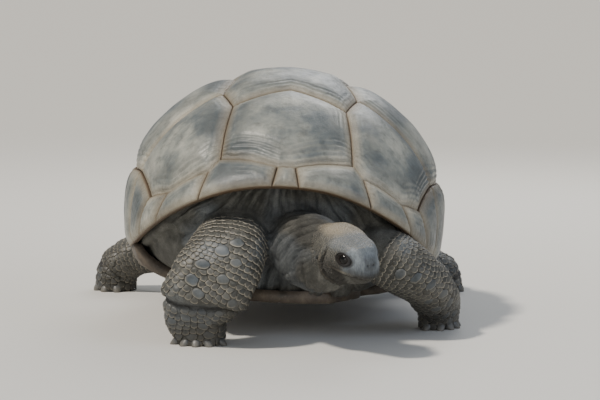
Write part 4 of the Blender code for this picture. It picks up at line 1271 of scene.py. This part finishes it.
# Horn of the scales: dark grey and half matt, with growth rings and grit, pale free edges that are
# worn and carry a painted highlight, painted shade in the cracks, blue-grey on the large ones, and
# the hide's own dust and painted light, bloom, painted shade, and darkening towards the floor.
horn_scale, tree, shader = finish("horny_scale")
place = node(tree, "TexCoord", {}, "Object")
height = node(tree, "SeparateXYZ", {"Vector": place}, "Z")
rim, tone, large, free, dust, bloom, dark = (
    node(tree, "Attribute", {"attribute_name": name}, "Fac")
    for name in ("rim", "tone", "largeness", "free_edge", "dusting", "slate", "shading")
)
cloud = node(tree, "TexNoise", {"Scale": 70.0, "Detail": 5.0, "Roughness": 0.65, "Vector": place})
grit = node(tree, "TexNoise", {"Scale": 700.0, "Detail": 3.0, "Vector": place})
much = {
    name: node(tree, "MapRange", dict(enumerate(row)))
    for name, row in {
        "bloom": (bloom, 0.2, 1.0, 0.0, 0.8),
        "dust": (dust, 0.15, 0.9, 0.0, 0.65),
        "lighter": (tone, -0.4, 1.0, 0.0, 0.35),
        "on small ones": (large, 0.0, 1.0, 1.0, 0.75),
        "on free edges": (free, 0.45, 1.0, 0.08, 1.0),
        # painted shade in the cracks round each scale's sunken foot
        "shade in cracks": (rim, 0.93, 0.99, 0.0, 1.0),
        # darker towards the floor
        "darker low down": (height, 0.0, 0.16, 0.65, 0.0),
        "ring turns": (rim, 0.0, 1.0, 0.0, 38.0),
        "ring height": (rim, 0.35, 0.8, 0.0, 0.25),
        "dullness": (cloud, 0.3, 0.7, 0.34, 0.54),
    }.items()
}
# Pale free edges: wear, and a painted highlight where the raised lower edge catches the light.
edge_stops = [(0.45, "000000"), (0.76, "787878"), (0.91, "ffffff"), (0.97, "303030"), (1.0, "000000")]
pale = node(tree, "ValToRGB", {"Fac": rim, "stops": edge_stops})
for share in ("on small ones", "on free edges"):
    pale = node(tree, "Math", {"operation": "MULTIPLY", 0: pale, 1: much[share]})
blue_grey = node(tree, "ValToRGB", {"Fac": cloud, "stops": [(0.3, "2e3437"), (0.7, "535b60")]})
stops = [(0.30, "292a27"), (0.55, "3e3f3b"), (0.75, "5a5b55")]
hue = node(tree, "ValToRGB", {"Fac": cloud, "stops": stops})
# Over the horn's own colour: blue-grey on the large scales, bloom, dust and painted light, random tone,
# the pale edges, painted shade in the cracks, darker towards the floor, and painted shade.
for amount, colour in (
    (large, blue_grey),
    (much["bloom"], "687178"),
    (much["dust"], "b3a58c"),
    (much["lighter"], "84827a"),
    (pale, "c2b9a6"),
    (much["shade in cracks"], "1d1a16"),
    (much["darker low down"], "2b2822"),
    (dark, "17120f"),
):
    hue = node(tree, "Mix", {"data_type": "RGBA", 0: amount, 6: hue, 7: colour}, 2)
growth = node(tree, "Math", {"operation": "SINE", 0: much["ring turns"]})
growth = node(tree, "Math", {"operation": "MULTIPLY", 0: growth, 1: much["ring height"]})
heights = node(tree, "Math", {"operation": "ADD", 0: growth, 1: grit})
bump = node(tree, "Bump", {"Strength": 0.5, "Distance": 0.0006, "Height": heights})
for socket, source in (("Base Color", hue), ("Roughness", much["dullness"]), ("Normal", bump)):
    tree.links.new(source, shader.inputs[socket])


def around_limb(name, t, angle):
    """Points on a limb's tube, at shares of its length and angles round it."""
    rows, power, _ = TUBES[name]
    row = section(rows, t * (SAMPLES - 1))
    c, s = (np.sign(q) * np.abs(q) ** (2 / power) for q in (np.cos(angle), np.sin(angle)))
    deep = np.where(s > 0, row[:, 14], row[:, 13])
    return row[:, :3] + (row[:, 12] * c)[:, None] * row[:, 6:9] + (deep * s)[:, None] * row[:, 9:12]


def in_rows(limb, draw, row_height, width_of_row):
    """Spots in staggered rows round a limb, a row's height apart and evenly spaced round it."""
    rows = TUBES[limb][0]
    length = np.linalg.norm(np.diff(rows[:, :3], axis=0), axis=1).sum()
    ring = np.linspace(-pi, pi, 121)
    t, number, spots = 0.16, 0, []
    while t < 0.985:
        loop = around_limb(limb, np.full(len(ring), t), ring)
        walked = np.concatenate([[0], np.cumsum(np.linalg.norm(np.diff(loop, axis=0), axis=1))])
        count = max(6, round(walked[-1] / width_of_row(t)))
        place = (np.arange(count) + 0.5 * (number % 2) + draw.uniform(-0.16, 0.16, count)) / count
        angle = np.interp(place % 1 * walked[-1], walked, ring)
        spots.append(np.stack([t + draw.uniform(-0.12, 0.12, count) * row_height(t) / length, angle]))
        t += row_height(t) / length
        number += 1
    return np.concatenate(spots, 1)


def scale_roots(limb, spots, size_of, stretch, large=()):
    """Roots for scales: spots on a limb in turn, each kept if no kept one is too near.

    The large scales come first. Distances down the limb count more than those across it,
    by the stretch, so scales come out wider than they are tall.
    """
    t, angle = spots
    size = size_of(around_limb(limb, t, angle), t, angle)
    if len(large):
        first = np.asarray(large, float)
        t, angle, size = (np.concatenate([first[:, k], q]) for k, q in enumerate((t, angle, size)))
    points = on_hide(around_limb(limb, t, angle))
    off, t, angle = tube(points, limb)
    slope = unit(slope_of(points))
    # A root has to be on the hide, where that is the limb's own, and not under the sole.
    kept = (np.abs(hide(points, False)) < 0.001) & (off < 0.006) & (size > 0)
    kept &= (points[:, 2] > 0.004) & (slope[:, 2] > -0.93)
    points, size, t, angle = (values[kept] for values in (points, size, t, angle))
    above, below = (around_limb(limb, np.clip(t + step, 0, 1), angle) for step in (-0.004, 0.004))
    down = unit(below - above)
    left = np.ones(len(points), bool)
    chosen = []
    for k in range(len(points)):
        if left[k]:
            chosen.append(k)
            reach = points - points[k]
            apart = (reach**2).sum(1) + (stretch**2 - 1) * (reach @ down[k]) ** 2
            left &= apart > (0.40 * (size + size[k])) ** 2
    return [values[chosen] for values in (points, size, t, angle, down)]


LOWEST = 0.0004  # scales and claws are kept this far off the floor
# A scale's rings, from its sunken foot to its top: parts of its reach, and of its height.
DOME = [(1.0, -0.5), (0.985, 0.35), (0.90, 0.82), (0.62, 1.0), (0.0, 1.08)]
NEIGHBOURS, CORNER_POWER = 16, 18.0
LEAST_COSINE = 0.15  # a neighbour further round to the side than this doesn't bound a scale
OVERLAP = 0.16  # how much further a tilted scale reaches down over the next
BEHIND = {f"{end}leg_{hand}": (f"{end}leg_{hand}", f"{end}foot_{hand}")
          for end in ("fore", "hind") for hand in ("left", "right")}
BEHIND |= {"head": ("head",), "tail": ("tail",)}  # the solids behind each coat


def scale_coat(limb, roots, stretch, spokes=12, levels=DOME, flatness=1.0,
               lean=0.55, start=0.18):
    """A joined mesh of scales on one limb, of full height a little past the start.

    A scale's reach towards an angle is the least of its neighbours' shares: the plane between
    two roots, moved by their sizes, over the cosine to it, with corners rounded by a high
    power mean. Its rings stand at parts of that reach, at the heights of a low dome.
    """
    points, size, t, angle, down = roots
    count = len(points)
    normal = unit(slope_of(points, 0.004))
    down = unit(down - (normal * down).sum(1, keepdims=True) * normal)
    across = np.cross(normal, down)
    square = (points**2).sum(1)
    apart = square[:, None] + square[None] - 2 * points @ points.T
    np.fill_diagonal(apart, 9)  # far off, so that no scale is its own neighbour
    near = np.argpartition(apart, NEIGHBOURS, axis=1)[:, :NEIGHBOURS]
    reach = points[near] - points[:, None]
    flat = [(reach * down[:, None]).sum(-1) * stretch, (reach * across[:, None]).sum(-1)]
    flat = np.stack(flat, -1)
    far = np.linalg.norm(flat, axis=-1) + 1e-9
    share = (far + ((size[:, None] / 2) ** 2 - (size[near] / 2) ** 2) / far) / 2
    spoke = np.linspace(0, 2 * pi, spokes, endpoint=False)
    facing = (flat / far[..., None]) @ np.stack([np.cos(spoke), np.sin(spoke)])
    room = share[..., None] / np.maximum(facing, LEAST_COSINE)
    room = np.maximum(np.where(facing > LEAST_COSINE, room, 1.0), 0.0005)
    # The large scales lie flatter, and reach less far where they have room.
    large = smooth((size - 0.020) / 0.006)
    limit = ((0.80 - 0.10 * large) * size)[:, None]
    tilt = lean * (1 - 0.75 * large)
    radius = ((room**-CORNER_POWER).sum(1) + limit**-CORNER_POWER) ** (-1 / CORNER_POWER) - 0.0002
    over_next = OVERLAP * tilt[:, None] * np.clip(np.cos(spoke), 0, 1)
    radius = np.maximum(radius, 0.0008) * (1 + over_next)
    height = flatness * (0.0005 + 0.085 * np.minimum(size, 0.03))
    height = height * (0.15 + 0.85 * smooth((t - start) / 0.08))
    rings = []
    for part, lift in levels:
        spots = 1 if part == 0 else spokes
        r = (part * radius[:, :spots])[..., None]
        c, s = np.cos(spoke[:spots])[None, :, None], np.sin(spoke[:spots])[None, :, None]
        spot = points[:, None] + r * (c / stretch * down[:, None] + s * across[:, None])
        raised = tilt[:, None] * part * np.cos(spoke[:spots])[None] * (1.0 if lift > 0 else 0.0)
        rings.append((spot, height[:, None] * (lift + raised), np.full((count, spots), part)))
    spots, lifts, rims = (np.concatenate(parts, 1) for parts in zip(*rings))
    per = spots.shape[1]
    along = np.repeat(normal, per, axis=0)
    spots = spots.reshape(-1, 3)
    for _ in range(2):
        off = np.clip(hide(spots, False), LEAST_RELIEF, -LEAST_RELIEF)
        spots = spots - off[:, None] * along
    smooth_hide = hide(spots, False)
    relief = np.clip(hide(spots) - smooth_hide, LEAST_RELIEF, MOST_RELIEF)
    done = (spots + (lifts.ravel() - relief)[:, None] * along).reshape(count, per, 3)
    # A scale is left out where the hide turns away under it.
    firm = np.abs(smooth_hide).reshape(count, per).max(1) < 0.0012
    firm &= np.ptp(relief.reshape(count, per), axis=1) < 0.0075
    points, size, t, angle, rims = (values[firm] for values in (points, size, t, angle, rims))
    done = done[firm].reshape(-1, 3)
    done[:, 2] = np.maximum(done[:, 2], LOWEST)
    count = len(points)

    ring = np.arange(spokes)
    after = (ring + 1) % spokes
    last = (len(levels) - 2) * spokes
    band = np.stack([ring, after, spokes + after, spokes + ring], -1)
    walls = np.concatenate([band + k for k in range(0, last, spokes)])
    tips = np.stack([last + ring, last + after, np.full(spokes, per - 1)], -1)
    first = per * np.arange(count)[:, None, None]
    faces = [(walls[None] + first).reshape(-1, 4), (tips[None] + first).reshape(-1, 3)]
    faces.append(ring[::-1][None] + first[:, 0])  # the hidden base
    coat = shown(f"scales_{limb}", done, faces, horn_scale)

    turn = np.concatenate([np.zeros(1) if part == 0 else spoke for part, _ in levels])
    free = (0.5 + 0.5 * np.cos(turn))[None] * np.ones((count, 1))
    attribute(coat, "rim", rims.ravel())
    attribute(coat, "free_edge", free.ravel())
    attribute(coat, "tone", np.repeat(mottle(points * 40, 0.31, count), per))
    attribute(coat, "largeness", np.repeat(smooth((size - 0.019) / 0.006), per))
    markings(coat, np.repeat(points, per, axis=0))
    # The map lays the limb out flat: angle across, length up, and a spot round each root.
    root = 0.02 + 0.96 * np.stack([angle / (2 * pi) + 0.5, t], -1)
    offset = 0.0015 * rims[..., None] * np.stack([np.cos(turn), np.sin(turn)], -1)[None]
    flat_map = (root[:, None] + offset).reshape(-1, 2).astype(np.float32)
    loops = np.zeros(len(coat.data.loops), int)
    coat.data.loops.foreach_get("vertex_index", loops)
    coat.data.uv_layers.new(name="OFBake").data.foreach_set("uv", flat_map[loops].ravel())
    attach(coat, "root")
    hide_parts(*BEHIND[limb])


def foreleg_size(points, t, angle):
    """Sizes of a foreleg's scales: small at the top, and larger from the elbow down."""
    size = 0.0110 + 0.0045 * smooth((t - 0.25) / 0.2) + 0.0012 * mottle(points, 0.02, 31)
    on_right = tube(points, "foreleg_right")[0] < 0.05
    past = [past_wrist(points, name, t, angle) for name in ("foreleg_left", "foreleg_right")]
    crease = np.abs(np.where(on_right, past[1], past[0]) - 0.006) < 0.018
    return np.where((t > 0.20) & ~crease, size + 0.0030 * smooth((t - 0.70) / 0.1), 0)


# The large smooth scales on the front of each foreleg: share of its length, angle, and width.
FRONT_SCALES = {
    "foreleg_right": [
        (0.44, -1.75, 0.034), (0.36, -1.50, 0.037), (0.32, -1.19, 0.031), (0.38, -1.10, 0.028),
        (0.45, -1.28, 0.030), (0.52, -1.85, 0.033), (0.55, -1.58, 0.026), (0.62, -2.05, 0.032),
        (0.69, -1.72, 0.026), (0.73, -1.30, 0.024), (0.73, -2.20, 0.024), (0.83, -1.62, 0.027),
        (0.83, -1.10, 0.023), (0.82, -2.15, 0.023), (0.50, -0.75, 0.022)],
    "foreleg_left": [
        (0.28, -2.93, 0.029), (0.32, -2.55, 0.029), (0.38, -2.09, 0.031), (0.46, -1.68, 0.031),
        (0.57, -1.57, 0.026), (0.44, -2.55, 0.024), (0.50, -2.20, 0.025), (0.66, -1.90, 0.026),
        (0.74, -1.50, 0.024), (0.83, -1.70, 0.024), (0.83, -1.15, 0.022), (0.66, -1.20, 0.023)],
}
for seed, (limb, large) in enumerate(FRONT_SCALES.items()):
    draw = np.random.default_rng(seed + 1)
    spots = in_rows(limb, draw, lambda t: 0.0085 + 0.0025 * float(smooth((t - 0.3) / 0.3)),
                    lambda t: 0.0125 + 0.0045 * float(smooth((t - 0.3) / 0.3)))
    roots = scale_roots(limb, spots, foreleg_size, 1.45, large)
    scale_coat(limb, roots, 1.4, lean=0.75)


def hindleg_size(points, t, angle):
    """Sizes of a hind leg's scales: small above, large about the heel."""
    size = 0.0105 + 0.0045 * smooth((t - 0.45) / 0.25) + 0.0015 * mottle(points, 0.02, 35)
    size = size + 0.008 * smooth((mottle(points, 0.04, 37) - 0.3) / 0.2) * smooth((t - 0.5) / 0.1)
    return np.where(t > 0.25, size, 0)


for seed, limb in enumerate(("hindleg_right", "hindleg_left")):
    spots = in_rows(limb, np.random.default_rng(seed + 3), lambda t: 0.0115, lambda t: 0.0140)
    scale_coat(limb, scale_roots(limb, spots, hindleg_size, 1.2), 1.2, start=0.25)


def tail_size(points, t, angle):
    """Sizes of the tail's scales, which shrink towards its tip."""
    return np.where(t > 0.12, 0.0105 - 0.0045 * t + 0.001 * mottle(points, 0.015, 39), 0)


draw = np.random.default_rng(5)
spots = in_rows("tail", draw, lambda t: 0.0100 - 0.004 * t, lambda t: 0.0105 - 0.004 * t)
roots = scale_roots("tail", spots, tail_size, 1.0)
scale_coat("tail", roots, 1.0, spokes=10, start=0.10)

PEBBLE = [(1.0, -1.6), (0.95, 0.55), (0.66, 1.0), (0.0, 1.12)]  # a small scale's rings


def head_size(points, t, angle):
    """Sizes of the head's scales, smallest by the ear and throat; none on lids, snout and beak."""
    h = moved(points, HEAD.inverted())
    x, z = h[:, 0], h[:, 2]
    size = 0.0046 + 0.0016 * smooth((z - 0.02) / 0.02) * smooth((x + 0.06) / 0.03)
    size = size + 0.0008 * mottle(points, 0.012, 41)
    _, ahead, ring = lid_ring(h)
    bare = (ring < 1.95) & (ahead > 0)
    bare |= (x > 0.006) & (z < 0.032) | (x > 0.020) | (x > -0.030) & (z < -0.020) | (z < -0.042)
    bare |= np.hypot(x + 0.070, z + 0.020) < 0.008
    return np.where(bare, 0, size)


draw, tries = np.random.default_rng(6), 16000
spots = draw.uniform(0, 1, tries), draw.uniform(-pi, pi, tries)
roots = scale_roots("head", spots, head_size, 1.0)
scale_coat("head", roots, 1.0, spokes=9, levels=PEBBLE, flatness=0.55, lean=-0.2,
           start=-0.1)

# ----------------------------------------------------------------------------- the claws
# Broad blunt claws of solid horn, worn round by walking: five on each forefoot and four on
# each hind foot. Each grows out of the edge of the foot and points a little down.

# Horn of the claws: denser than the scales', blue-grey at the root and paler at the worn
# tip, with fine lines of growth across it.
claw_horn, tree, shader = finish("worn_claw_horn")
place = node(tree, "TexCoord", {}, "Object")
cloud = node(tree, "TexNoise", {"Scale": 90.0, "Detail": 4.0, "Vector": place})
along_claw = node(tree, "Attribute", {"attribute_name": "along_claw"}, "Fac")
worn_tip, turns = (
    node(tree, "MapRange", dict(enumerate(row)))
    for row in ((along_claw, 0.55, 1.0, 0.0, 0.7), (along_claw, 0.0, 1.0, 0.0, 45.0))
)
hue = node(tree, "ValToRGB", {"Fac": cloud, "stops": [(0.3, "3b3e40"), (0.7, "5f6161")]})
hue = node(tree, "Mix", {"data_type": "RGBA", 0: worn_tip, 6: hue, 7: "7f796c"}, 2)
lines = node(tree, "Math", {"operation": "SINE", 0: turns})
heights = node(tree, "Math", {"operation": "MULTIPLY_ADD", 0: lines, 1: 0.3, 2: cloud})
bump = node(tree, "Bump", {"Strength": 0.4, "Distance": 0.0005, "Height": heights})
for socket, source in (("Base Color", hue), ("Normal", bump)):
    tree.links.new(source, shader.inputs[socket])
shader.inputs["Roughness"].default_value = 0.42

SUNK = 0.005  # how far a claw's middle stands in from the edge of the foot
DOWN = radians(32)  # how far it points down
CLAWS = {
    # name: number, half width and half length, bearing of the middle one, and their spread
    "foreleg_right": (5, 0.0125, 0.021, -100, 150),
    "foreleg_left": (5, 0.0125, 0.021, -50, 150),
    "hindleg_right": (4, 0.0140, 0.021, -140, 110),
    "hindleg_left": (4, 0.0140, 0.021, -40, 110),
}
turns, rings = 22, 15
a, b = np.meshgrid(np.linspace(0, 2 * pi, turns, endpoint=False), np.linspace(0, 1, rings))
a, b = a.ravel(), b.ravel()
# A claw's section is a squared ellipse, widest near the root, that tapers to a blunt tip.
swell = np.sqrt(np.clip(1 - b**3.2, 0, 1) * smooth(b / 0.25)) * (1.08 - 0.24 * b)
c, s = (np.sign(q) * np.abs(q) ** 0.85 for q in (np.cos(a), np.sin(a)))
for limb, (number, wide, long, facing, fan) in CLAWS.items():
    _, across, _, _, stations = LIMBS[limb]
    x, y, _, half, fore, aft = stations[-2]
    axis = Vector(across).normalized()
    square = Vector((-axis.y, axis.x, 0))
    bow = -0.35 * b**2 * wide
    shape = np.stack([long * (2 * b - 1), wide * swell * c, 0.80 * wide * swell * s + bow], -1)
    places, faces = [], []
    for n in range(number):
        bearing = radians(facing + fan * (n / (number - 1) - 0.5))
        out = Vector((cos(bearing), sin(bearing), 0))
        reach = 1 / np.hypot(out.dot(axis) / half, out.dot(square) / ((fore + aft) / 2)) - SUNK
        turn = Matrix.Rotation(bearing, 4, "Z") @ Matrix.Rotation(DOWN, 4, "Y")
        spot = Matrix.Translation((x + out.x * reach, y + out.y * reach, wide * 0.85))
        places.append(moved(shape, ALOFT @ spot @ turn))
        faces.append(wrapped_faces(turns, rings) + n * len(shape))
    places = np.vstack(places)
    places[:, 2] = np.maximum(places[:, 2], LOWEST)
    claws = shown(f"claws_{limb}", places, faces, claw_horn)
    attribute(claws, "along_claw", np.tile(b, number))
    closed(claws)
    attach(claws, "root")
    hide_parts(limb.replace("leg", "foot"))
